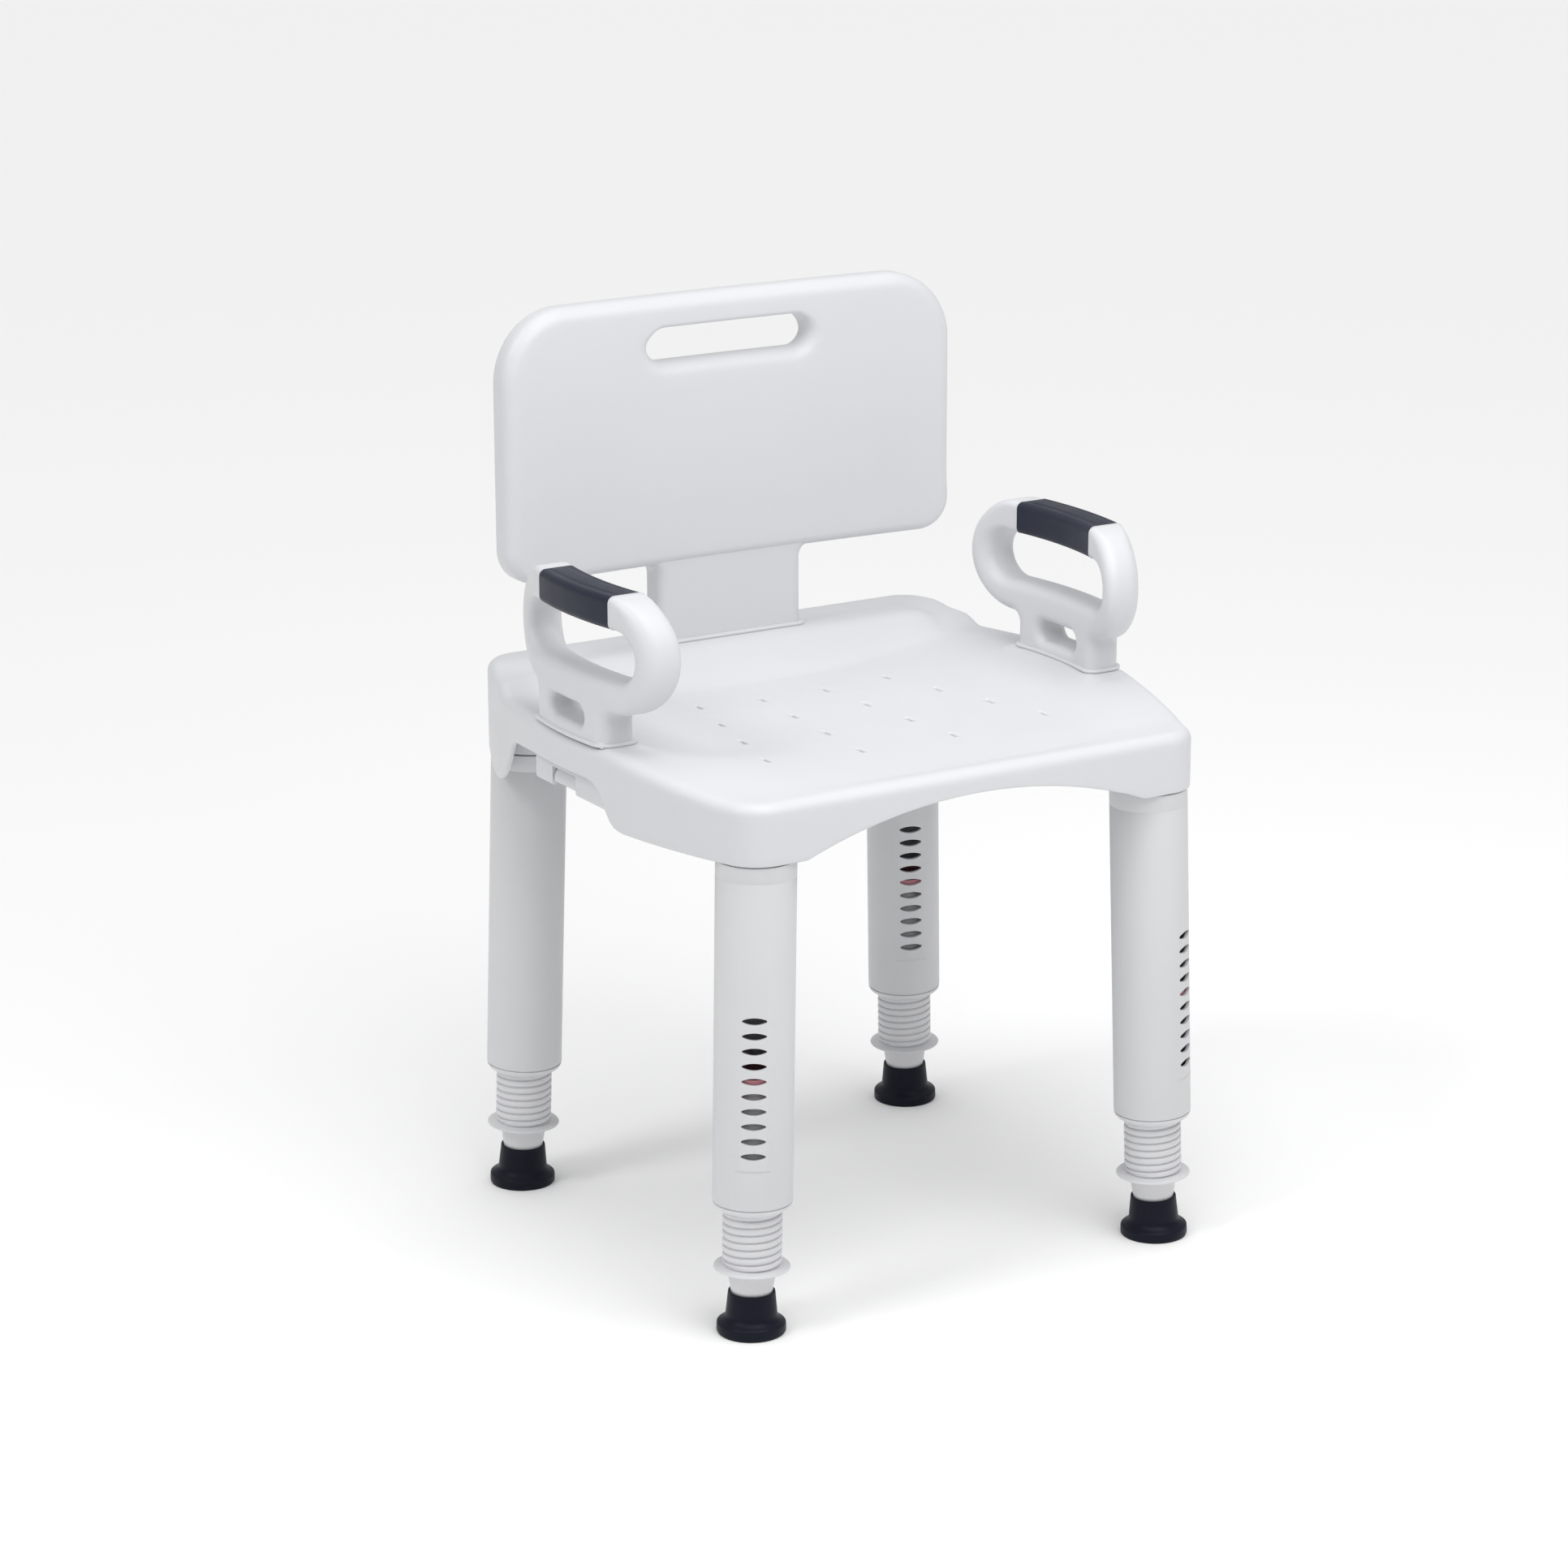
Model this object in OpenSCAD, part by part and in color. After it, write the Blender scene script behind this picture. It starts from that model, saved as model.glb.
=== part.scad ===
// Four-legged shower chair: moulded seat, lift-off back and armrests, screw-adjusted legs.
// Millimetres. +X is to the right seen from the front, -Y is the front, +Z is up, floor at z = 0.

/* [Seat] */
// Half the seat's widest width, reached just ahead of the middle
seat_half_w = 262; // [220:1:300]
// Radius of the bowed side edges, in plan
seat_side_r = 620; // [300:10:1200]
// Front-to-back position where the side edge is widest
seat_side_y = -8; // [-60:1:60]
// Front edge, distance ahead of the middle
seat_front_y = 226; // [180:1:280]
// Rear edge, distance behind the middle
seat_rear_y = 224; // [180:1:280]
// Corner radius in plan
corner_r = 33; // [20:1:50]
// Wall thickness of the seat moulding
seat_wall = 4.2; // [3:0.1:8]
// Lower edge of the skirt at the legs
seat_bottom_z = 404; // [350:1:450]
// Top of the front rim
front_rim_z = 455; // [440:1:480]
// Lowest point of the dished sitting surface
pan_z = 450.5; // [440:0.5:475]
// Top of the side rims, where the armrests stand
side_rim_z = 468; // [455:1:490]
// Top of the raised rear ledge
ledge_z = 482; // [465:1:500]
// Radius of the dish, across the seat
dish_r = 1590; // [800:10:4000]
// Crown of the arched skirt, front and rear
arch_top_z = 435; // [410:1:445]
// Half the width of the arch at the skirt's lower edge
arch_half_w = 165; // [100:1:180]
// Depth of the stiffening ribs under the pan
rib_depth = 14; // [6:1:25]
// Length of a drain slot
drain_len = 12; // [5:0.5:20]
// Width of a drain slot
drain_w = 2.4; // [1.5:0.1:8]
// Spacing of the drain rows, front to rear
drain_row_gap = 60; // [40:1:80]
// Distance of the outer drains from the middle, in the rearmost row
drain_rear_x = 95; // [60:1:130]
// How much further out the outer drains sit in each row further forward
drain_spread = 14; // [0:1:30]

/* [Legs] */
// Foot position to the side at floor level
foot_x = 203.5; // [150:0.5:240]
// Foot position to the front and rear at floor level
foot_y = 198.5; // [150:0.5:240]
// Inward lean to the side, per millimetre of height
lean_x = 0.027; // [0:0.001:0.08]
// Inward lean front to rear, per millimetre of height
lean_y = 0.018; // [0:0.001:0.08]
// Outer radius of the leg tube
tube_r = 33; // [25:0.25:40]
// Wall thickness of the leg tube
tube_wall = 3; // [2:0.25:5]
// Height of the joint between the tube and its end nut
tube_end_z = 114.1; // [90:0.1:140]
// Height of the lowest height window, at its centre
window_low_z = 160.8; // [140:0.1:200]
// Spacing of the height windows
window_pitch = 12.7; // [10:0.1:20]
// Number of height windows in each tube
window_count = 10; // [4:1:14]
// Width of a height window
window_w = 21; // [8:0.5:26]
// Height of a height window
window_h = 6.2; // [3:0.1:8]
// Crest radius of the leg thread
thread_r = 24.6; // [18:0.1:29]
// Root radius of the leg thread
thread_root_r = 22.5; // [16:0.1:28]
// Lead of the leg thread, half a window spacing
thread_pitch = 6.35; // [4:0.05:10]
// Radius of the hand flange
flange_r = 31.8; // [26:0.1:36]
// Height of the hand flange's underside
flange_z = 54.4; // [45:0.1:80]
// Top of the threaded leg
screw_top_z = 215; // [180:1:260]
// Radius of the rubber foot's base
foot_r = 28.75; // [20:0.25:40]
// Top of the rubber foot
foot_top_z = 35.4; // [25:0.1:50]

/* [Back] */
// Half the width of the back panel
back_half_w = 225; // [180:1:260]
// Front face of the back panel
back_y = 168; // [140:1:200]
// Thickness of the back panel
back_t = 28; // [15:1:40]
// Lower edge of the back panel
back_low_z = 553; // [520:1:600]
// Upper edge of the back panel
back_top_z = 788; // [700:1:850]
// Radius of the upper corners
back_top_r = 62; // [30:1:90]
// Radius of the lower corners
back_low_r = 30; // [15:1:60]
// Half the width of the stem
stem_half_w = 73; // [50:1:100]
// Length of the handle slot
slot_len = 160; // [100:1:220]
// Height of the handle slot
slot_h = 30; // [20:1:45]
// Centre height of the handle slot
slot_z = 746.5; // [700:0.5:780]
// Wall thickness of the hollow back
back_wall = 3.6; // [2:0.1:6]

/* [Armrests] */
// Distance of the armrest's middle from the seat's middle
arm_x = 241.5; // [200:0.5:260]
// Bow radius of the armrest, in plan
arm_bow_r = 350; // [200:10:900]
// Thickness of the armrest
arm_t = 34; // [20:1:45]
// Half the length of the loop
loop_half_len = 109; // [80:1:140]
// Underside of the loop
loop_low_z = 497; // [485:1:520]
// Top of the loop
loop_top_z = 597; // [560:1:640]
// Half the length of the hand opening
hand_half_len = 87; // [60:1:110]
// Underside of the hand opening
hand_low_z = 525.5; // [510:0.5:550]
// Top of the hand opening
hand_top_z = 569.5; // [550:0.5:600]
// Half the length of the armrest's neck
neck_half_len = 62.5; // [40:0.5:80]
// Front end of the soft grip
grip_front_y = -62.5; // [-80:0.5:-30]
// Rear end of the soft grip
grip_rear_y = 51; // [30:0.5:80]
// Thickness of the soft grip
grip_t = 3; // [1.5:0.25:6]

/* [Hidden] */
$fn = 96;
side_cx = seat_side_r - seat_half_w;
corner_d = seat_side_r - corner_r;
fc_y = -seat_front_y + corner_r;
rc_y = seat_rear_y - corner_r;
fc_x = sqrt(corner_d * corner_d - pow(fc_y - seat_side_y, 2)) - side_cx;
rc_x = sqrt(corner_d * corner_d - pow(rc_y - seat_side_y, 2)) - side_cx;
// where each corner arc meets the bowed side
ft_y = seat_side_y + (fc_y - seat_side_y) * seat_side_r / corner_d;
rt_y = seat_side_y + (rc_y - seat_side_y) * seat_side_r / corner_d;
arch_h = arch_top_z - seat_bottom_z;
arch_r = (arch_half_w * arch_half_w + arch_h * arch_h) / (2 * arch_h);
ledge_half_w = 195;
ledge_front_y = 145;
rear_tab_z = 388;
rib_gap = 50;
rib_t = 3;
rib_low_z = 430;
lean_n = sqrt(1 + lean_x * lean_x + lean_y * lean_y);
tube_bore = tube_r - tube_wall;
spigot_r = tube_bore - 0.1;
spigot_low_z = 380;
spigot_top_z = 446;
spigot_wall = 3;
socket_top_z = 452;
// a height window is an oval of two flat arcs and two tip arcs, tangent to each other
tip_r = 1.1;
tip_x = window_w / 2 - tip_r;
oval_r = (tip_x * tip_x + window_h * window_h / 4 - tip_r * tip_r) / (window_h - 2 * tip_r);
oval_meet_x = tip_x * oval_r / (oval_r - tip_r);
nut_r = 27.5;
nut_low_z = 107.3;
nut_top_z = 132;
nut_bore = thread_r + 0.35;
plug_r = 17.3;
plug_low_z = 8.5;
thread_low_z = 62;
barrel_wall = 3;
marker_r = tube_bore - 0.8;
marker_h = 9.6;
marker_neck_r = thread_root_r - barrel_wall - 0.1;
loop_r = (loop_top_z - loop_low_z) / 2;
hand_r = (hand_top_z - hand_low_z) / 2;
drain_rows = 4;
drain_rear_y = 64.5;
// the tenons, the brackets that hold them, and the latch tongues
slack = 0.5;
bracket_wall = 4;
back_tenon_half_w = 60;
back_tenon_y = back_y + 4;
back_tenon_t = 20;
back_tenon_low_z = 432;
back_bracket_half_w = 66;
back_bracket_low_z = 426;
back_bracket_top_z = 476;
arm_tenon_x = arm_x - 4.5;
arm_tenon_half_len = 48;
arm_tenon_t = 20;
arm_tenon_low_z = 416;
arm_bracket_front_y = -54;
arm_bracket_rear_y = 72;
arm_bracket_low_z = 414;
arm_bracket_top_z = 457;
latch_half_w = 19;
arm_latch_y = 20;
latch_t = 3.2;
latch_window_half_w = latch_half_w + 1;
latch_window_h = 13;
latch_inset = 0.3;
pocket_gap = 0.5;
// the wide lip round the foot of the back and of each armrest
lip_out = 2.5;
lip_h = 2.8;
// reach of shapes that only trim others, and where the armrests' zone starts
big = 400;
arm_zone_x = 150;

// which way each leg's windows face, degrees from the front towards the right
FL_A = -31;
FR_A = 31;
RR_A = -20;
RL_A = -149;

// ---------------------------------------------------------------- frames
// stands a leg drawn along +Z on its corner, leaning inwards as it rises
module leg_frame(sx, sy) {
  dx = -sx * lean_x / lean_n;
  dy = -sy * lean_y / lean_n;
  rx = -asin(dy);
  ry = asin(dx / cos(rx));
  translate([sx * foot_x, sy * foot_y, 0]) rotate([rx, ry, 0]) children();
}
// draws a profile in the side view (Y across, Z up) and pushes it along +X from x0 to x1
module side_extrude(x0, x1) {
  translate([x0, 0, 0]) rotate([90, 0, 90]) linear_extrude(x1 - x0) children();
}
// draws a profile in the front view (X across, Z up) between two Y positions
module front_extrude(y0, y1) {
  translate([0, y1, 0]) rotate([90, 0, 0]) linear_extrude(y1 - y0) children();
}

// ---------------------------------------------------------------- seat
// plan outline with bowed sides and tangent corners, inset by t
module seat_outline(t = 0) {
  intersection() {
    translate([-side_cx, seat_side_y]) circle(r = seat_side_r - t, $fn = 360);
    translate([side_cx, seat_side_y]) circle(r = seat_side_r - t, $fn = 360);
    union() {
      translate([-big, ft_y]) square([2 * big, rt_y - ft_y]);
      translate([-fc_x, -seat_front_y + t]) square([2 * fc_x, 3 * corner_r]);
      translate([-rc_x, seat_rear_y - t - 3 * corner_r]) square([2 * rc_x, 3 * corner_r]);
      for (s = [-1, 1]) {
        translate([s * fc_x, fc_y]) circle(r = corner_r - t);
        translate([s * rc_x, rc_y]) circle(r = corner_r - t);
      }
    }
  }
}
// plan shape of an armrest base, grown by g
module arm_base_plan(g, half_len) {
  intersection() {
    difference() {
      translate([arm_x - arm_bow_r, 0]) circle(r = arm_bow_r + arm_t / 2 + g, $fn = 360);
      translate([arm_x - arm_bow_r, 0]) circle(r = arm_bow_r - arm_t / 2 - g, $fn = 360);
    }
    translate([arm_zone_x, -half_len]) square([arm_zone_x, 2 * half_len]);
  }
}
// everything above the sitting surface
module above_seat() {
  // rim height along the sides; the rear ledge keeps its full height between them
  difference() {
    side_extrude(-big, big) polygon([[-big, front_rim_z], [-190, front_rim_z], [-150, front_rim_z + 4],
      [-90, side_rim_z - 3], [-66, side_rim_z], [66, side_rim_z], [100, side_rim_z - 1],
      [140, side_rim_z - 2], [150, ledge_z - 7], [172, ledge_z - 5], [186, ledge_z], [big, ledge_z],
      [big, 2 * big], [-big, 2 * big]]);
    translate([-ledge_half_w, ledge_front_y, 0]) cube([2 * ledge_half_w, big, ledge_z]);
  }
  // dished pan with a sloping rise to the rear ledge
  difference() {
    intersection() {
      translate([0, 0, pan_z + dish_r]) rotate([90, 0, 0])
        cylinder(r = dish_r, h = 2 * big, center = true, $fn = 360);
      side_extrude(-238, 238) polygon([[-206, 2 * big], [-206, pan_z + 2.5], [-190, pan_z - 10],
        [112, pan_z - 10], [118, pan_z + 1], [158, ledge_z], [158, 2 * big]]);
    }
    for (s = [0, 1]) mirror([s, 0, 0])
      translate([0, 0, seat_bottom_z]) linear_extrude(side_rim_z - seat_bottom_z) arm_base_plan(2, 70);
  }
}
// the seat as a solid block, with its top surface lowered by d and its sides inset by t
module seat_block(t, d, z0) {
  difference() {
    translate([0, 0, z0]) linear_extrude(ledge_z - d - z0) seat_outline(t);
    translate([0, 0, -d]) above_seat();
  }
}
// the open space under the skirts
module under_skirts() {
  // front and rear arches
  translate([0, 0, arch_top_z - arch_r]) rotate([90, 0, 0])
    cylinder(r = arch_r, h = 2 * big, center = true, $fn = 360);
  translate([-big / 2, -big, 200]) cube([big, 2 * big, seat_bottom_z - 200]);
  for (s = [0, 1]) mirror([s, 0, 0]) {
    // side cut-outs, with the longer tab ahead of each rear leg
    side_extrude(200, big) polygon([[-big, 200], [-big, seat_bottom_z], [-84, seat_bottom_z],
      [-73, 406], [-66, 412], [-60, 422], [-55, 431], [-47, 437], [-34, 440], [60, 439],
      [104, 436], [112, 432], [122, 416], [136, 400], [150, 391], [164, rear_tab_z],
      [180, 390], [192, 396], [203, seat_bottom_z], [big, seat_bottom_z], [big, 200]]);
  }
}
module leg_cylinder(r, z0, z1) {
  for (sx = [-1, 1], sy = [-1, 1]) leg_frame(sx, sy) translate([0, 0, z0]) cylinder(r = r, h = z1 - z0);
}
module arm_bracket() {
  translate([arm_tenon_x - arm_tenon_t / 2 - bracket_wall - slack, arm_bracket_front_y, arm_bracket_low_z])
    cube([arm_tenon_t + 2 * bracket_wall + 2 * slack, arm_bracket_rear_y - arm_bracket_front_y,
      arm_bracket_top_z - arm_bracket_low_z]);
}
module back_bracket() {
  translate([-back_bracket_half_w, back_tenon_y - bracket_wall, back_bracket_low_z])
    cube([2 * back_bracket_half_w, back_tenon_t + 2 * bracket_wall,
      back_bracket_top_z - back_bracket_low_z]);
}
module ribs() {
  for (x = [-3 * rib_gap : rib_gap : 3 * rib_gap])
    translate([x - rib_t / 2, -big, rib_low_z]) cube([rib_t, 2 * big, ledge_z - rib_low_z]);
  for (y = [-3 * rib_gap : rib_gap : 3 * rib_gap])
    translate([-big, y - rib_t / 2, rib_low_z]) cube([2 * big, rib_t, ledge_z - rib_low_z]);
}
// a drain slot, drawn along Y
module drain() {
  union() {
    for (s = [-1, 1]) translate([0, s * (drain_len - drain_w) / 2, 0])
      cylinder(r = drain_w / 2, h = ledge_z - arch_top_z);
    translate([-drain_w / 2, -(drain_len - drain_w) / 2, 0])
      cube([drain_w, drain_len - drain_w, ledge_z - arch_top_z]);
  }
}
// rows of drain slots that fan out towards the front
module drains() {
  for (row = [0 : drain_rows - 1], place = [-1, -1 / 3, 1 / 3, 1])
    translate([place * (drain_rear_x + row * drain_spread), drain_rear_y - row * drain_row_gap, rib_low_z])
      drain();
}
module seat_shell() color("#e9ecf0") {
  difference() {
    union() {
      // skin and skirts
      difference() {
        seat_block(0, 0, rear_tab_z - 10);
        seat_block(seat_wall, seat_wall, 300);
        under_skirts();
      }
      // ribs, brackets and leg sockets hang from the skin
      intersection() {
        seat_block(seat_wall / 2, seat_wall / 2, seat_bottom_z);
        union() {
          difference() {
            ribs();
            translate([0, 0, -rib_depth]) seat_block(seat_wall, seat_wall, 300);
            leg_cylinder(tube_r - 1, spigot_low_z, ledge_z + 38);
          }
          for (s = [0, 1]) mirror([s, 0, 0]) arm_bracket();
          back_bracket();
          leg_cylinder(tube_r, spigot_low_z, socket_top_z);
        }
      }
    }
    // bores that hold the leg tubes' spigots
    leg_cylinder(tube_bore, 300, spigot_top_z + 1);
    // relief around the tube tops, inside the rear tabs
    difference() {
      leg_cylinder(tube_r + 0.4, 300, 430);
      translate([-big, -big, seat_bottom_z]) cube([2 * big, 2 * big, 200]);
    }
    // slots for the armrest tenons, and windows for their latches
    for (s = [0, 1]) mirror([s, 0, 0]) {
      translate([arm_tenon_x - arm_tenon_t / 2 - slack, -arm_tenon_half_len - slack, rear_tab_z])
        cube([arm_tenon_t + 2 * slack, 2 * (arm_tenon_half_len + slack), 120]);
      translate([arm_tenon_x, arm_latch_y - latch_window_half_w, arm_tenon_low_z + 3.5])
        cube([20, 2 * latch_window_half_w, latch_window_h]);
    }
    // slot for the back's tenon, and the window for its latch
    translate([-back_tenon_half_w - slack, back_tenon_y - slack, rear_tab_z])
      cube([2 * (back_tenon_half_w + slack), back_tenon_t + 2 * slack, 120]);
    translate([-latch_window_half_w, back_tenon_y + 10, back_tenon_low_z + 3])
      cube([2 * latch_window_half_w, 30, latch_window_h]);
    drains();
  }
}

// ---------------------------------------------------------------- legs
// an oval height window, cut towards the front at height z
module window_cut(z) {
  translate([0, 0, z]) rotate([90, 0, 0]) linear_extrude(tube_r + 5) {
    intersection() {
      translate([0, oval_r - window_h / 2]) circle(r = oval_r, $fn = 360);
      translate([0, window_h / 2 - oval_r]) circle(r = oval_r, $fn = 360);
      translate([-oval_meet_x, -window_h]) square([2 * oval_meet_x, 2 * window_h]);
    }
    for (s = [-1, 1]) translate([s * tip_x, 0]) circle(r = tip_r, $fn = 24);
  }
}
module leg_tube(sx, sy, a) color("#eceef2") {
  difference() {
    union() {
      difference() {
        leg_frame(sx, sy) translate([0, 0, tube_end_z]) cylinder(r = tube_r, h = 320);
        translate([-big, -big, seat_bottom_z - 0.2]) cube([2 * big, 2 * big, 200]);
      }
      leg_frame(sx, sy) translate([0, 0, spigot_low_z])
        cylinder(r = spigot_r, h = spigot_top_z - spigot_low_z);
    }
    leg_frame(sx, sy) {
      translate([0, 0, tube_end_z - 1]) cylinder(r = tube_bore, h = spigot_low_z - tube_end_z + 1);
      translate([0, 0, spigot_low_z - 10]) cylinder(r = spigot_r - spigot_wall, h = 100);
      rotate([0, 0, a]) for (i = [0 : window_count - 1]) window_cut(window_low_z + i * window_pitch);
    }
  }
}
module end_nut(sx, sy) color("#e6e8ec") {
  leg_frame(sx, sy) rotate_extrude() polygon([[nut_bore, nut_low_z + 1], [nut_bore + 1, nut_low_z],
    [nut_r - 1, nut_low_z], [nut_r + 1.5, nut_low_z + 0.8], [tube_r - 1.2, tube_end_z - 2.6],
    [tube_r, tube_end_z - 1.2], [tube_r, tube_end_z], [spigot_r, tube_end_z],
    [spigot_r, nut_top_z], [nut_bore, nut_top_z]]);
}
module screw_leg(sx, sy) color("#f0f2f5") {
  turns = floor((screw_top_z - 4 - thread_low_z) / thread_pitch);
  leg_frame(sx, sy) difference() {
    union() {
      // neck, plug and hand flange
      rotate_extrude() polygon([[0, plug_low_z], [plug_r, plug_low_z], [plug_r, foot_top_z + 0.6],
        [17.8, foot_top_z + 0.6], [19, flange_z - 1.5], [21, flange_z],
        [flange_r - 0.6, flange_z + 1], [flange_r, flange_z + 1.6], [flange_r - 0.5, flange_z + 2.4],
        [24, flange_z + 3], [thread_root_r, flange_z + 3.4], [0, flange_z + 3.4]]);
      // threaded barrel
      translate([0, 0, flange_z + 2]) cylinder(r = thread_root_r, h = screw_top_z - flange_z - 2);
      for (i = [0 : turns - 1]) translate([0, 0, thread_low_z + (i + 0.5) * thread_pitch])
        rotate_extrude() polygon([[thread_root_r - 0.5, -1.9], [thread_root_r, -1.9], [thread_r, -0.8],
          [thread_r, 0.8], [thread_root_r, 1.9], [thread_root_r - 0.5, 1.9]]);
    }
    // hollow above and below the flange
    translate([0, 0, flange_z + 10]) cylinder(r = thread_root_r - barrel_wall, h = 200);
    translate([0, 0, -1]) cylinder(r = plug_r - 3.5, h = flange_z + 5);
  }
}
module height_marker(sx, sy) color("#c8434e") {
  leg_frame(sx, sy) difference() {
    union() {
      translate([0, 0, screw_top_z + 0.4]) cylinder(r = marker_r, h = marker_h);
      translate([0, 0, screw_top_z - 8]) cylinder(r = marker_neck_r, h = 10);
    }
    translate([0, 0, screw_top_z - 10]) cylinder(r = thread_root_r - 2 * barrel_wall, h = 40);
  }
}
module foot(sx, sy) color("#1c1f2b") {
  difference() {
    leg_frame(sx, sy) rotate_extrude() difference() {
      union() {
        translate([0, -2]) square([foot_r - 0.8, 8]);
        translate([0, -2]) square([foot_r, 7]);
        // swept flare from the base up to the socket
        difference() {
          translate([0, 5]) square([foot_r - 0.8, 13]);
          translate([foot_r + 3.7, 18.5]) circle(r = 13);
        }
        polygon([[0, 5], [20, 5], [19.9, 24], [19.4, foot_top_z - 0.5], [19, foot_top_z], [0, foot_top_z]]);
      }
      translate([0, 8]) square([plug_r + 0.1, 60]);
    }
    translate([-big, -big, -50]) cube([2 * big, 2 * big, 50]);
  }
}

// ---------------------------------------------------------------- back
module back_outline(t = 0) {
  w = back_half_w - t;
  translate([-w, back_low_z + back_low_r]) square([2 * w, back_top_z - back_top_r - back_low_z - back_low_r]);
  translate([-(back_half_w - back_top_r), back_top_z - back_top_r])
    square([2 * (back_half_w - back_top_r), back_top_r - t]);
  translate([-(back_half_w - back_low_r), back_low_z + t])
    square([2 * (back_half_w - back_low_r), back_low_r]);
  for (s = [-1, 1]) {
    translate([s * (back_half_w - back_top_r), back_top_z - back_top_r]) circle(r = back_top_r - t);
    translate([s * (back_half_w - back_low_r), back_low_z + back_low_r]) circle(r = back_low_r - t);
  }
}
module slot_outline(g = 0) {
  r = slot_h / 2 + g;
  translate([-(slot_len - slot_h) / 2, slot_z - r]) square([slot_len - slot_h, 2 * r]);
  for (s = [-1, 1]) translate([s * (slot_len - slot_h) / 2, slot_z]) circle(r = r);
}
module backrest() color("#e9ecf0") {
  difference() {
    union() {
      front_extrude(back_y, back_y + back_t) difference() {
        union() {
          back_outline();
          // stem, filleted into the panel
          translate([-stem_half_w, ledge_z]) square([2 * stem_half_w, 90]);
          difference() {
            translate([-stem_half_w - 10, back_low_z - 10]) square([2 * stem_half_w + 20, 20]);
            for (s = [-1, 1]) translate([s * (stem_half_w + 10), back_low_z - 10]) circle(r = 10);
          }
        }
        slot_outline();
      }
      // foot lip and tenon
      translate([-stem_half_w - lip_out, back_y - lip_out, ledge_z])
        cube([2 * (stem_half_w + lip_out), back_t + 2 * lip_out, lip_h]);
      translate([-back_tenon_half_w, back_tenon_y, back_tenon_low_z])
        cube([2 * back_tenon_half_w, back_tenon_t, ledge_z - back_tenon_low_z + 1]);
    }
    // hollow panel and stem
    front_extrude(back_y + back_wall, back_y + back_t - back_wall) difference() {
      union() {
        back_outline(back_wall);
        translate([-stem_half_w + back_wall, ledge_z + 6]) square([2 * (stem_half_w - back_wall), 90]);
      }
      slot_outline(back_wall);
    }
    // pocket for the latch tongue
    translate([-latch_half_w - pocket_gap, back_tenon_y + back_tenon_t - latch_t - latch_inset,
      back_tenon_low_z - 1])
      cube([2 * (latch_half_w + pocket_gap), 10, 43]);
  }
}
module back_latch() color("#dfe2e7") {
  union() {
    // tongue, then the nose that snaps into the window
    translate([-latch_half_w, back_tenon_y + back_tenon_t - latch_t - latch_inset, back_tenon_low_z + 2])
      cube([2 * latch_half_w, latch_t, 40]);
    translate([-latch_half_w, back_tenon_y + back_tenon_t - 2, back_tenon_low_z + 4])
      cube([2 * latch_half_w, 5, 10]);
  }
}

// ---------------------------------------------------------------- armrests
// the space between two bowed walls either side of the armrest's middle
module arm_sheet(h, z0, z1) {
  translate([arm_x - arm_bow_r, 0, z0]) difference() {
    cylinder(r = arm_bow_r + h, h = z1 - z0, $fn = 360);
    translate([0, 0, -1]) cylinder(r = arm_bow_r - h, h = z1 - z0 + 2, $fn = 360);
  }
}
module stadium(half_len, r, zc) {
  translate([-(half_len - r), zc - r]) square([2 * (half_len - r), 2 * r]);
  for (s = [-1, 1]) translate([s * (half_len - r), zc]) circle(r = r);
}
module arm_profile() {
  difference() {
    union() {
      stadium(loop_half_len, loop_r, loop_low_z + loop_r);
      translate([-neck_half_len, side_rim_z]) square([2 * neck_half_len, 50]);
      // fillets between neck and loop
      difference() {
        translate([-neck_half_len - 8, loop_low_z - 8]) square([2 * neck_half_len + 16, 12]);
        for (s = [-1, 1]) translate([s * (neck_half_len + 8), loop_low_z - 8]) circle(r = 8);
      }
    }
    stadium(hand_half_len, hand_r, hand_low_z + hand_r);
    stadium(29, 9, 488);
  }
}
module armrest() {
  difference() {
    union() {
      intersection() {
        side_extrude(180, 290) arm_profile();
        arm_sheet(arm_t / 2, 460, 620);
      }
      translate([0, 0, side_rim_z]) linear_extrude(lip_h) arm_base_plan(lip_out, neck_half_len + 3.5);
      translate([arm_tenon_x - arm_tenon_t / 2, -arm_tenon_half_len, arm_tenon_low_z])
        cube([arm_tenon_t, 2 * arm_tenon_half_len, side_rim_z - arm_tenon_low_z + 1]);
    }
    // recess that the soft grip fills
    difference() {
      translate([arm_zone_x, grip_front_y, hand_top_z - 1])
        cube([arm_zone_x, grip_rear_y - grip_front_y, 60]);
      intersection() {
        arm_sheet(arm_t / 2 - grip_t, hand_top_z + grip_t, loop_top_z - grip_t);
        translate([arm_zone_x, grip_front_y - 5, loop_low_z])
          cube([arm_zone_x, grip_rear_y - grip_front_y + 10, 120]);
      }
    }
    // pocket for the latch tongue
    translate([arm_tenon_x + arm_tenon_t / 2 - latch_t - latch_inset,
      arm_latch_y - latch_half_w - pocket_gap, arm_tenon_low_z - 1])
      cube([10, 2 * (latch_half_w + pocket_gap), 47]);
  }
}
module grip() {
  difference() {
    intersection() {
      arm_sheet(arm_t / 2, hand_top_z, loop_top_z);
      translate([arm_zone_x, grip_front_y, loop_low_z])
        cube([arm_zone_x, grip_rear_y - grip_front_y, 120]);
    }
    arm_sheet(arm_t / 2 - grip_t, hand_top_z + grip_t, loop_top_z - grip_t);
  }
}
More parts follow.
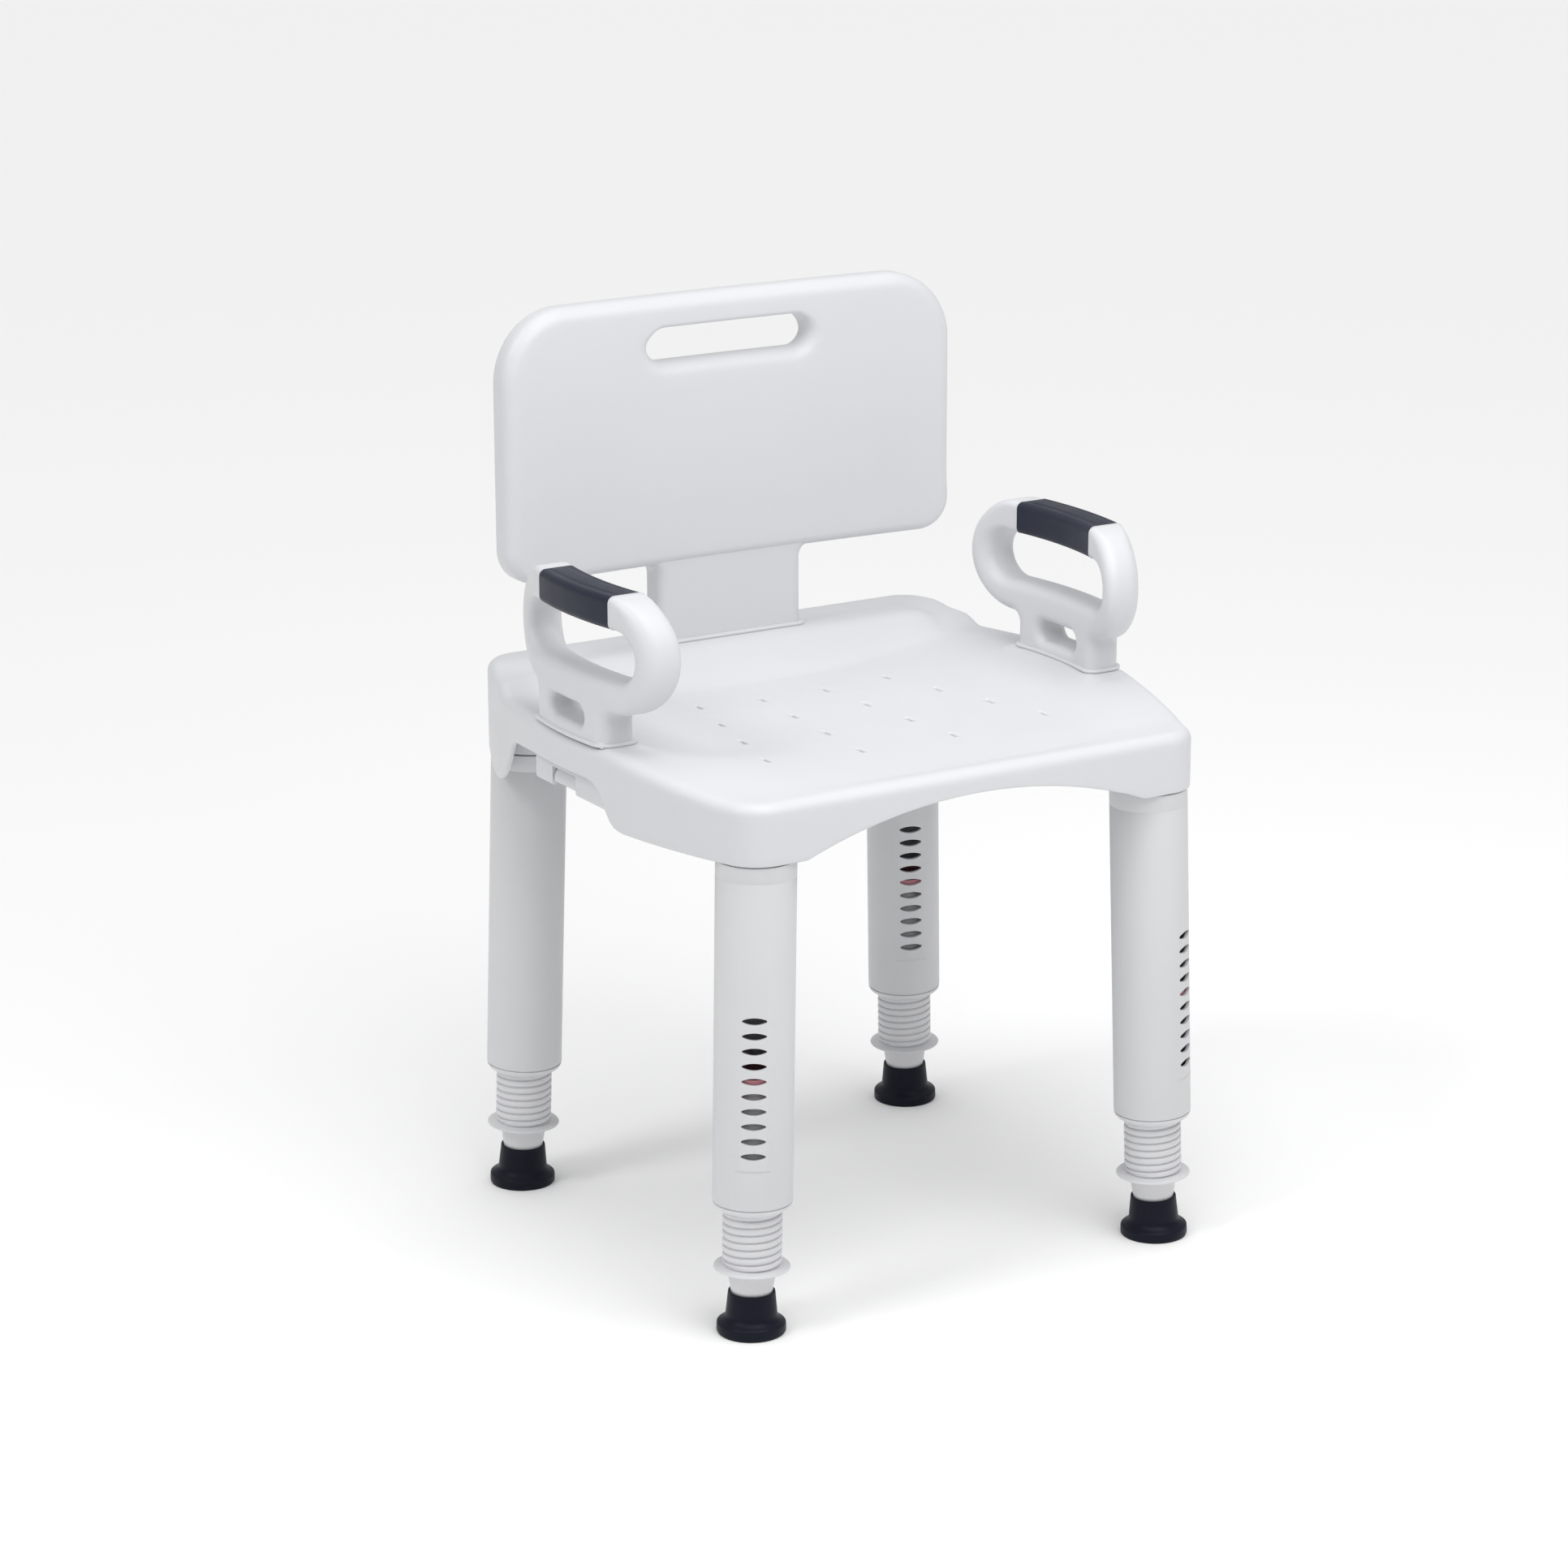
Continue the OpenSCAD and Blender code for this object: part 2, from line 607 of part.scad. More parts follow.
module arm_latch() {
  union() {
    // tongue, then the nose that snaps into the window
    translate([arm_tenon_x + arm_tenon_t / 2 - latch_t - latch_inset, arm_latch_y - latch_half_w,
      arm_tenon_low_z + 2])
      cube([latch_t, 2 * latch_half_w, 44]);
    translate([arm_tenon_x + arm_tenon_t / 2 - 2.5, arm_latch_y - latch_half_w, arm_tenon_low_z + 4.5])
      cube([5.3, 2 * latch_half_w, 10.5]);
  }
}

// ---------------------------------------------------------------- drawing
seat_shell();
leg_tube(-1, -1, FL_A);  // fl_leg_tube
end_nut(-1, -1);  // fl_end_nut
screw_leg(-1, -1);  // fl_screw_leg
height_marker(-1, -1);  // fl_height_marker
foot(-1, -1);  // fl_foot
leg_tube(1, -1, FR_A);  // fr_leg_tube
end_nut(1, -1);  // fr_end_nut
screw_leg(1, -1);  // fr_screw_leg
height_marker(1, -1);  // fr_height_marker
foot(1, -1);  // fr_foot
leg_tube(-1, 1, RL_A);  // rl_leg_tube
end_nut(-1, 1);  // rl_end_nut
screw_leg(-1, 1);  // rl_screw_leg
height_marker(-1, 1);  // rl_height_marker
foot(-1, 1);  // rl_foot
leg_tube(1, 1, RR_A);  // rr_leg_tube
end_nut(1, 1);  // rr_end_nut
screw_leg(1, 1);  // rr_screw_leg
height_marker(1, 1);  // rr_height_marker
foot(1, 1);  // rr_foot
backrest();
back_latch();
color("#e9ecf0") mirror([1, 0, 0]) armrest();  // left_armrest
color("#353845") mirror([1, 0, 0]) grip();  // left_grip
color("#dfe2e7") mirror([1, 0, 0]) arm_latch();  // left_arm_latch
color("#e9ecf0") armrest();  // right_armrest
color("#353845") grip();  // right_grip
color("#dfe2e7") arm_latch();  // right_arm_latch
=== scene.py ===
"""Four-legged shower chair with lift-off back and armrests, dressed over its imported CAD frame.
Shapes are written in millimetres and become metres when a mesh is made.
+X is to the right seen from the front, -Y is the front, +Z is up, and the floor is z = 0."""
import math

import bmesh
import bpy
import numpy as np
from mathutils import Matrix, Vector
from mathutils.geometry import delaunay_2d_cdt


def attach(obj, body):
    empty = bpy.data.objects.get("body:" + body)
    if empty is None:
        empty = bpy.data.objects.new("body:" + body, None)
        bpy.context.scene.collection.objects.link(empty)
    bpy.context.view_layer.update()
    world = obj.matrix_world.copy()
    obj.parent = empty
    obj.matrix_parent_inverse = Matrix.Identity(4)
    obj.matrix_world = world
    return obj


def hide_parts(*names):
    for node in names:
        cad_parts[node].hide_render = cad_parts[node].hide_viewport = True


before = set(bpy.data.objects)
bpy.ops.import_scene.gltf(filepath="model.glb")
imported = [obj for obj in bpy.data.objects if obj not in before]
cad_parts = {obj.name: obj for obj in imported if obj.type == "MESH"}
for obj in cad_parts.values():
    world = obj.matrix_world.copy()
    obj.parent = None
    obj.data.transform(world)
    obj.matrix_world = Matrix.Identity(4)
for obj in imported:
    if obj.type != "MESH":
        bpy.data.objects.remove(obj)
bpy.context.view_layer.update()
MM = 0.001

# ------------------------------------------------------------------ sizes, in millimetres
SEAT_HALF_W = 262
SEAT_SIDE_R = 580
SEAT_SIDE_Y = 0
SEAT_FRONT_Y = 226
SEAT_REAR_Y = 224
CORNER_R = 33
SEAT_WALL = 4.2
SEAT_EDGE_R = 10
SEAT_BOTTOM_Z = 404
PAN_Z = 450.5
DISH_R = 1590
ARCH_TOP_Z = 435
ARCH_HALF_W = 165
LEDGE_Z = 482
LEDGE_FADE_X = (182, 208)
LEDGE_FADE_Y = (118, 150)
RIM_Z = 468
RIB_GAP = 50
RIB_DEPTH = 14
RIB_HALF_T = 1.5
DRAIN_LEN = 12
DRAIN_W = 2.4
DRAIN_FLARE = 1.6
DRAIN_ROWS = 4
DRAIN_ROW_GAP = 60
DRAIN_REAR_Y = 64.5
DRAIN_REAR_X = 95
DRAIN_SPREAD = 14
SOCKET_BORE = 30.2
SOCKET_R = 32.4
SOCKET_LOW_Z = 404.4
SOCKET_TOP_Z = 447

FOOT_X = 203.5
FOOT_Y = 198.5
LEAN_X = 0.027
LEAN_Y = 0.018
TUBE_R = 33
TUBE_BORE = 30
TUBE_END_Z = 114.1
TUBE_TOP_Z = 402.8
SPIGOT_LOW_Z = 380
SPIGOT_TOP_Z = 446
WINDOW_LOW_Z = 160.8
WINDOW_PITCH = 12.7
WINDOW_COUNT = 10
WINDOW_HALF_W = 10
WINDOW_HALF_H = 3.1
WINDOW_TIP_R = 1.1
THREAD_R = 24.6
THREAD_ROOT_R = 22.5
THREAD_PITCH = 6.35
FLANGE_Z = 54.4
FLANGE_R = 31.8
SCREW_TOP_Z = 215
NUT_R = 32.8
FOOT_R = 28.75
FOOT_TOP_Z = 35.4
TICK_HALF_LEN = 2.6
LONG_TICK_HALF_LEN = 14
TICK_HALF_H = 0.45

BACK_HALF_W = 225
BACK_Y = 168
BACK_REAR_Y = 196
BACK_LOW_Z = 553
BACK_TOP_Z = 788
BACK_LOW_CORNER_R = 30
BACK_TOP_CORNER_R = 62
BACK_BOW = 8
STEM_HALF_W = 73
STEM_FILLET = 10
STEM_OVERLAP = 18
SLOT_HALF_LEN = 80
SLOT_R = 15
SLOT_Z = 746.5

ARM_X = 241.5
ARM_BOW_R = 350
ARM_HALF_T = 17
LOOP_HALF_LEN = 109
LOOP_R = 50
LOOP_Z = 547
HAND_HALF_LEN = 87
HAND_R = 22
HAND_Z = 547.5
NECK_HALF_LEN = 58.5
NECK_SHIFT = 7
NECK_FILLET = 8
NECK_SLOT_HALF_LEN = 29
NECK_SLOT_R = 9
NECK_SLOT_Z = 488
GRIP_FRONT_Y = -62.5
GRIP_REAR_Y = 51

TENON_HALF_T = 10
SOCKET_GAP = 0.5
BRACKET_REACH = 14
ARM_TENON_X = 237
ARM_TENON_HALF_LEN = 48
ARM_TENON_LOW_Z = 416
ARM_BRACKET_HALF_LEN = 63
ARM_BRACKET_Y = 9
ARM_BRACKET_LOW_Z = 414
ARM_BRACKET_TOP_Z = 460
BACK_TENON_Y = 182
BACK_TENON_HALF_LEN = 60
BACK_TENON_LOW_Z = 432
BACK_BRACKET_HALF_W = 66
BACK_BRACKET_LOW_Z = 426
BACK_BRACKET_TOP_Z = 476

LATCH_HALF_W = 19
LATCH_T = 3.2
LATCH_TALL = 44
LATCH_HOLE_HALF_W = 20
LATCH_HOLE_HALF_T = 5
ARM_LATCH_HOLE_Z = (410, 431)
BACK_LATCH_HOLE_Z = (435, 448)
ARM_LATCH_X = 246.7
ARM_LATCH_Y = 20
ARM_LATCH_LOW_Z = 418
BACK_LATCH_Y = 191.7
BACK_LATCH_LOW_Z = 434

# ------------------------------------------------------------------ camera
camera_at = Vector((-1.94856, -3.11324, 1.45817))
camera_aim = Vector((-0.06553, -0.02567, 0.40290))
camera_roll = math.radians(-0.115)
backward = (camera_at - camera_aim).normalized()
level = Vector((0, 0, 1)).cross(backward).normalized()
upward = backward.cross(level)
rightward = math.cos(camera_roll) * level + math.sin(camera_roll) * upward
upward = backward.cross(rightward)
camera_data = bpy.data.cameras.new("camera")
camera_data.sensor_width = 36
camera_data.lens = 102.56
camera = bpy.data.objects.new("camera", camera_data)
camera_turn = Matrix((rightward, upward, backward)).transposed().to_4x4()
camera.matrix_world = Matrix.Translation(camera_at) @ camera_turn
bpy.context.scene.collection.objects.link(camera)
bpy.context.scene.camera = camera


# ------------------------------------------------------------------ outlines
def arc(centre_a, centre_b, radius, start, end, steps):
    """Points on a circular arc, in degrees, both ends included."""
    angles = np.radians(np.linspace(start, end, steps + 1))
    return np.column_stack([centre_a + radius * np.cos(angles), centre_b + radius * np.sin(angles)])


def rounded_box(half_a, half_b, radius, steps=8):
    """A rectangle about the origin with round corners, anticlockwise."""
    a, b = half_a - radius, half_b - radius
    return np.vstack([
        arc(a, -b, radius, -90, 0, steps),
        arc(a, b, radius, 0, 90, steps),
        arc(-a, b, radius, 90, 180, steps),
        arc(-a, -b, radius, 180, 270, steps),
    ])


def spaced(outline, gap):
    """The same closed outline with extra points wherever neighbours are further apart than gap."""
    made = []
    for here, there in zip(outline, np.roll(outline, -1, axis=0)):
        pieces = max(1, math.ceil(np.linalg.norm(there - here) / gap))
        made.extend(here + (there - here) * k / pieces for k in range(pieces))
    return np.array(made)


def outward(outline):
    """Outward normals of a closed anticlockwise outline, lengthened so that an offset keeps its width."""
    edge = np.roll(outline, -1, axis=0) - outline
    edge = edge / np.linalg.norm(edge, axis=1)[:, None]
    side = np.column_stack([edge[:, 1], -edge[:, 0]])
    both = side + np.roll(side, 1, axis=0)
    return both * (2 / (both ** 2).sum(axis=1))[:, None]


def smooth_step(value, start, end):
    """0 before start, 1 after end, and a smooth rise between."""
    share = np.clip((value - start) / (end - start), 0, 1)
    return share * share * (3 - 2 * share)


def soft_line(value, points, spread):
    """Height along a line of corner points, with the corners rounded over the spread."""
    across, height = zip(*points)
    shifts = np.linspace(-spread, spread, 9)
    return sum(np.interp(value + shift, across, height) for shift in shifts) / len(shifts)


def soft_max(a, b, width):
    """The higher of two surfaces, blended where they are within the width of each other."""
    near = np.clip(1 - np.abs(a - b) / width, 0, 1)
    return np.maximum(a, b) + width * near ** 2 / 4


def soft_min(a, b, width):
    """The lower of two surfaces, blended where they are within the width of each other."""
    return -soft_max(-a, -b, width)


# ------------------------------------------------------------------ meshes
class Solid:
    """Points in millimetres and the faces between them, gathered before they become one mesh."""

    def __init__(self):
        self.points = []
        self.faces = []

    def add(self, points, faces):
        first = sum(len(block) for block in self.points)
        self.points.append(np.asarray(points, float).reshape(-1, 3))
        self.faces.extend(tuple(first + int(i) for i in face) for face in faces)

    def rings(self, rings, caps=True, looped=False):
        """A skin over a stack of closed rings.
        Caps close both ends; looped joins the last ring to the first."""
        rings = np.asarray(rings, float)
        rows, columns = rings.shape[:2]
        stacked = rows if looped else rows - 1
        faces = []
        for row in range(stacked):
            low, high = row * columns, (row + 1) % rows * columns
            for column in range(columns):
                after = (column + 1) % columns
                faces.append((low + column, low + after, high + after, high + column))
        if caps and not looped:
            faces.append(tuple(range(columns))[::-1])
            faces.append(tuple(range((rows - 1) * columns, rows * columns)))
        self.add(rings, faces)

    def patch(self, points):
        """A skin over a rectangular lattice of points."""
        rows, columns = points.shape[:2]
        faces = [
            (r * columns + c, r * columns + c + 1, (r + 1) * columns + c + 1, (r + 1) * columns + c)
            for r in range(rows - 1) for c in range(columns - 1)
        ]
        self.add(points, faces)

    def lathe(self, profile, steps=96, looped=True):
        """Turns a closed profile of (radius, height) round the Z axis."""
        angles = np.linspace(0, 2 * np.pi, steps, endpoint=False)
        rings = [[(r * np.cos(t), r * np.sin(t), z) for t in angles] for r, z in profile]
        self.rings(rings, looped=looped)

    def slab(self, outline, holes, low, high, place, rim, gap=8, fixed=None):
        """A plate between two depths with rounded edges, and with rounded holes through it.
        rim(points, hole, face) gives the edge radius at each point, with face 0 for the low side.
        place turns (across, along, depth) into x, y, z. Points with 'along' at or under fixed stay there."""
        loops = [(spaced(outline, gap), False)] + [(spaced(hole, gap), True) for hole in holes]
        turns = np.radians(np.linspace(0, 90, 8))
        at_face = {0: [], 1: []}
        for loop, hole in loops:
            normal = outward(loop)
            if fixed is not None and not hole:
                foot = loop[:, 1] <= fixed + 0.01
                edge = np.abs(loop[:, 0]) >= np.abs(loop[foot][:, 0]).max() - 0.01
                normal[foot] = 0
                normal[foot & edge, 0] = np.sign(loop[foot & edge, 0])
            sign = 1 if hole else -1
            low_r = rim(loop, hole, 0)[:, None]
            high_r = rim(loop, hole, 1)[:, None]
            stack = []
            for turn in turns:
                shifted = loop + sign * normal * low_r * (1 - math.sin(turn))
                stack.append(np.hstack([shifted, low + low_r * (1 - math.cos(turn))]))
            for turn in turns[::-1]:
                shifted = loop + sign * normal * high_r * (1 - math.sin(turn))
                stack.append(np.hstack([shifted, high - high_r * (1 - math.cos(turn))]))
            self.rings([place(*ring.T) for ring in stack], caps=False)
            at_face[0].append(stack[0][:, :2])
            at_face[1].append(stack[-1][:, :2])
        for face, depth in ((0, low), (1, high)):
            points, faces = filled(at_face[face], gap)
            self.add(place(points[:, 0], points[:, 1], np.full(len(points), float(depth))), faces)


def filled(loops, gap):
    """Triangles over the first loop less the others, with a lattice of points inside."""
    edges, points = [], []
    for loop in loops:
        first, count = len(points), len(loop)
        points.extend(loop)
        edges.extend((first + k, first + (k + 1) % count) for k in range(count))
    low, high = loops[0].min(axis=0), loops[0].max(axis=0)
    across = np.arange(low[0] + gap, high[0], gap)
    along = np.arange(low[1] + gap, high[1], gap)
    boundary = np.array(points)
    for a in across:
        for b in along:
            spot = np.array([a, b])
            if np.abs(boundary - spot).max(axis=1).min() < 0.6 * gap:
                continue
            if inside(spot, loops[0]) and not any(inside(spot, loop) for loop in loops[1:]):
                points.append(spot)
    made = delaunay_2d_cdt([Vector(p) for p in points], edges, [], 1, 1e-6)
    corners = np.array([tuple(v) for v in made[0]])
    middles = [corners[face].mean(axis=0) for face in made[2]]
    kept = [face for face, middle in zip(made[2], middles)
            if not any(inside(middle, loop) for loop in loops[1:])]
    return corners, kept


def inside(spot, loop):
    """True if the spot is inside a closed outline."""
    after = np.roll(loop, -1, axis=0)
    crosses = (loop[:, 1] > spot[1]) != (after[:, 1] > spot[1])
    here, there = loop[crosses], after[crosses]
    at = here[:, 0] + (spot[1] - here[:, 1]) / (there[:, 1] - here[:, 1]) * (there[:, 0] - here[:, 0])
    return bool(np.count_nonzero(at > spot[0]) % 2)


def make_object(name, solid, sharp=35):
    """The mesh object of a solid, in metres, with welded seams and smooth shading up to the sharp angle."""
    mesh = bpy.data.meshes.new(name)
    mesh.from_pydata((np.vstack(solid.points) * MM).tolist(), [], solid.faces)
    shape = bmesh.new()
    shape.from_mesh(mesh)
    bmesh.ops.remove_doubles(shape, verts=shape.verts, dist=1e-5)
    bmesh.ops.dissolve_degenerate(shape, edges=shape.edges, dist=1e-6)
    bmesh.ops.recalc_face_normals(shape, faces=shape.faces)
    shape.to_mesh(mesh)
    shape.free()
    made = bpy.data.objects.new(name, mesh)
    bpy.context.scene.collection.objects.link(made)
    mesh.shade_smooth()
    mesh.set_sharp_from_angle(angle=math.radians(sharp))
    return made


def cut_away(target, cutters, sharp=35):
    """Subtracts a solid of cutters from an object's mesh."""
    tool = make_object("cutter", cutters)
    cut = target.modifiers.new("cut", "BOOLEAN")
    cut.operation = "DIFFERENCE"
    cut.solver = "EXACT"
    cut.object = tool
    result = bpy.data.meshes.new_from_object(target.evaluated_get(bpy.context.evaluated_depsgraph_get()))
    target.modifiers.clear()
    target.data = result
    bpy.data.objects.remove(tool)
    result.shade_smooth()
    result.set_sharp_from_angle(angle=math.radians(sharp))


def put_in_place(made, body, slot, material, nodes=()):
    """Gives a piece its body and its material, and hides the CAD nodes it stands for; the slot argument is
    not used.
    """
    made.data.materials.clear()
    made.data.materials.append(material)
    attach(made, body)
    if nodes:
        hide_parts(*nodes)


# ------------------------------------------------------------------ materials
def moulded(name, colour, tint, roughness, grain, grain_size, gloss=0.5, wear_and_highlight=0.04):
    """A procedural plastic or rubber.
    Its colour drifts towards the tint, its gloss is uneven, and its edges are paler, partly as wear and
    partly as a painted highlight.
    The grain is a fine moulded one, as a bump's strength and a noise's scale."""
    material = bpy.data.materials.new(name)
    material.use_nodes = True
    tree = material.node_tree
    surface = tree.nodes["Principled BSDF"]
    where = tree.nodes.new("ShaderNodeTexCoord")

    def noise(scale, detail):
        node = tree.nodes.new("ShaderNodeTexNoise")
        node.inputs["Scale"].default_value = scale
        node.inputs["Detail"].default_value = detail
        tree.links.new(where.outputs["Object"], node.inputs["Vector"])
        return node.outputs["Fac"]

    def ranged(value, low, high, start=0.3, end=0.7):
        node = tree.nodes.new("ShaderNodeMapRange")
        node.inputs["From Min"].default_value = start
        node.inputs["From Max"].default_value = end
        node.inputs["To Min"].default_value = low
        node.inputs["To Max"].default_value = high
        tree.links.new(value, node.inputs["Value"])
        return node.outputs["Result"]

    def mixed(amount, first, second):
        node = tree.nodes.new("ShaderNodeMix")
        node.data_type = "RGBA"
        tree.links.new(amount, node.inputs["Factor"])
        for socket, value in ((node.inputs[6], first), (node.inputs[7], second)):
            if isinstance(value, tuple):
                socket.default_value = (*value, 1)
            else:
                tree.links.new(value, socket)
        return node.outputs[2]

    drift = mixed(ranged(noise(9, 4), 0, 1), colour, tint)
    # convex edges are mixed towards a paler colour by pointiness: partly wear, partly a painted highlight
    shape = tree.nodes.new("ShaderNodeNewGeometry")
    edges = ranged(shape.outputs["Pointiness"], 0, wear_and_highlight, 0.52, 0.6)
    pale = tuple(min(1, c + 0.5 * (1 - c)) for c in colour)
    tree.links.new(mixed(edges, drift, pale), surface.inputs["Base Color"])
    tree.links.new(ranged(noise(34, 5), roughness - 0.05, roughness + 0.06), surface.inputs["Roughness"])
    bump = tree.nodes.new("ShaderNodeBump")
    bump.inputs["Strength"].default_value = grain
    bump.inputs["Distance"].default_value = 0.0002
    tree.links.new(noise(grain_size, 3), bump.inputs["Height"])
    tree.links.new(bump.outputs["Normal"], surface.inputs["Normal"])
    surface.inputs["IOR"].default_value = 1.5
    surface.inputs["Specular IOR Level"].default_value = gloss
    return material


WHITE = moulded("white_plastic", (0.645, 0.652, 0.671), (0.632, 0.639, 0.658), 0.42, 0.10, 900)
TUBE = moulded("tube_plastic", (0.63, 0.634, 0.648), (0.615, 0.619, 0.633), 0.45, 0.12, 800)
LEG = moulded("leg_plastic", (0.665, 0.665, 0.683), (0.645, 0.647, 0.665), 0.38, 0.08, 900)
LATCH = moulded("latch_plastic", (0.65, 0.655, 0.675), (0.63, 0.635, 0.655), 0.4, 0.10, 900)
MARKER = moulded("marker_red", (0.52, 0.20, 0.23), (0.46, 0.17, 0.20), 0.5, 0.15, 700)
GRIP = moulded("grip_rubber", (0.020, 0.025, 0.041), (0.017, 0.021, 0.036), 0.42, 0.25, 1100, 0.2, 0.01)
FOOT = moulded("foot_rubber", (0.006, 0.008, 0.017), (0.005, 0.006, 0.013), 0.42, 0.25, 900, 0.14, 0.01)


# ------------------------------------------------------------------ seat
SIDE_CENTRE = SEAT_SIDE_R - SEAT_HALF_W
FRONT_CORNER_Y = -SEAT_FRONT_Y + CORNER_R
REAR_CORNER_Y = SEAT_REAR_Y - CORNER_R
CORNER_REACH = SEAT_SIDE_R - CORNER_R
FRONT_CORNER_X = math.sqrt(CORNER_REACH ** 2 - (FRONT_CORNER_Y - SEAT_SIDE_Y) ** 2) - SIDE_CENTRE
REAR_CORNER_X = math.sqrt(CORNER_REACH ** 2 - (REAR_CORNER_Y - SEAT_SIDE_Y) ** 2) - SIDE_CENTRE
FRONT_TURN = math.degrees(math.asin((FRONT_CORNER_Y - SEAT_SIDE_Y) / CORNER_REACH))
REAR_TURN = math.degrees(math.asin((REAR_CORNER_Y - SEAT_SIDE_Y) / CORNER_REACH))

# height of the rim along the sides, front to rear
RIM_LINE = ((-226, 455), (-190, 455), (-150, 459), (-94, 465), (-70, RIM_Z), (70, RIM_Z), (100, 467),
            (140, 466), (150, 475), (172, 477), (186, LEDGE_Z), (224, LEDGE_Z))
# slopes that lead from the pan up to the front rim and to the rear ledge
RISE_LINE = ((-226, 470), (-206, 453), (-190, 440), (112, 440), (118, 451.5), (155, LEDGE_Z), (175, 498))
# lower edge of the skirt along the sides: leg corner, cut-out under the armrest, tab at the rear leg
SIDE_SKIRT_LINE = ((-226, 404), (-84, 404), (-73, 406), (-66, 412), (-60, 422), (-55, 431), (-47, 437),
                   (-34, 440), (60, 439), (104, 436), (112, 432), (122, 416), (136, 400), (150, 391),
                   (164, 388), (180, 390), (192, 396), (203, 404), (224, 404))


def seat_height(x, y):
    """Top of the seat: dished pan, raised rims, rear ledge, and a flat pad under each armrest."""
    rim = soft_line(y, RIM_LINE, 6)
    on_ledge = (1 - smooth_step(np.abs(x), *LEDGE_FADE_X)) * smooth_step(y, *LEDGE_FADE_Y)
    rim = rim + (LEDGE_Z - rim) * on_ledge
    pan = PAN_Z + x * x / (2 * DISH_R)
    surface = soft_min(rim, soft_max(pan, soft_line(y, RISE_LINE, 5), 8), 5)
    from_bow = np.abs(np.hypot(np.abs(x) - ARM_X + ARM_BOW_R, y) - ARM_BOW_R)
    from_neck = np.abs(y + NECK_SHIFT * np.sign(x)) - NECK_HALF_LEN
    outside_pad = np.maximum(from_bow - ARM_HALF_T - 2, from_neck - 5)
    return surface + (rim - surface) * (1 - smooth_step(outside_pad, 0, 7))


def seat_edges(inset, across=96, along=88, turn=7):
    """The four sides of the seat outline, inset: front, right, rear and left, anticlockwise.
    Each begins and ends in the middle of a corner and has a fixed number of points."""
    radius = CORNER_R - inset
    front_mid, rear_mid = (FRONT_TURN - 90) / 2, (REAR_TURN + 90) / 2
    mirror = np.array([-1, 1])
    front_half = arc(FRONT_CORNER_X, FRONT_CORNER_Y, radius, -90, front_mid, turn)
    rear_half = arc(REAR_CORNER_X, REAR_CORNER_Y, radius, rear_mid, 90, turn)
    front_line = np.linspace(front_half[0] * mirror, front_half[0], across - 2 * turn + 1)
    rear_line = np.linspace(rear_half[-1], rear_half[-1] * mirror, across - 2 * turn + 1)
    front = np.vstack([(front_half * mirror)[::-1], front_line[1:-1], front_half])
    rear = np.vstack([rear_half, rear_line[1:-1], (rear_half * mirror)[::-1]])
    right = np.vstack([
        arc(FRONT_CORNER_X, FRONT_CORNER_Y, radius, front_mid, FRONT_TURN, turn),
        arc(-SIDE_CENTRE, SEAT_SIDE_Y, SEAT_SIDE_R - inset, FRONT_TURN, REAR_TURN, along - 2 * turn)[1:-1],
        arc(REAR_CORNER_X, REAR_CORNER_Y, radius, REAR_TURN, rear_mid, turn),
    ])
    return front, right, rear, (right * mirror)[::-1]


def seat_loop(inset):
    """The whole seat outline, inset, without doubled points."""
    return np.vstack([side[:-1] for side in seat_edges(inset)])


def seat_lattice(inset):
    """A lattice of points that fills the seat outline from its four sides."""
    front, right, rear, left = seat_edges(inset)
    rear, left = rear[::-1], left[::-1]
    u = np.linspace(0, 1, len(front))[None, :, None]
    v = np.linspace(0, 1, len(right))[:, None, None]
    sides = (1 - v) * front[None] + v * rear[None] + (1 - u) * left[:, None] + u * right[:, None]
    front_corners = (1 - u) * (1 - v) * front[0] + u * (1 - v) * front[-1]
    corners = front_corners + (1 - u) * v * rear[0] + u * v * rear[-1]
    return sides - corners


def skirt_height(loop):
    """Lower edge of the skirt at each point of a seat loop.
    It is arched at the front and rear and cut out at the sides."""
    rise = ARCH_TOP_Z - SEAT_BOTTOM_Z
    radius = (ARCH_HALF_W ** 2 + rise ** 2) / (2 * rise)
    arch = np.sqrt(radius ** 2 - np.minimum(np.abs(loop[:, 0]), ARCH_HALF_W) ** 2) + ARCH_TOP_Z - radius
    side = soft_line(loop[:, 1], SIDE_SKIRT_LINE, 3)
    return np.where(np.abs(loop[:, 0]) > FRONT_CORNER_X - 5, side, arch)


def raised(loop, height):
    """Plan points with their heights."""
    return np.dstack([loop[..., 0], loop[..., 1], height])[0]


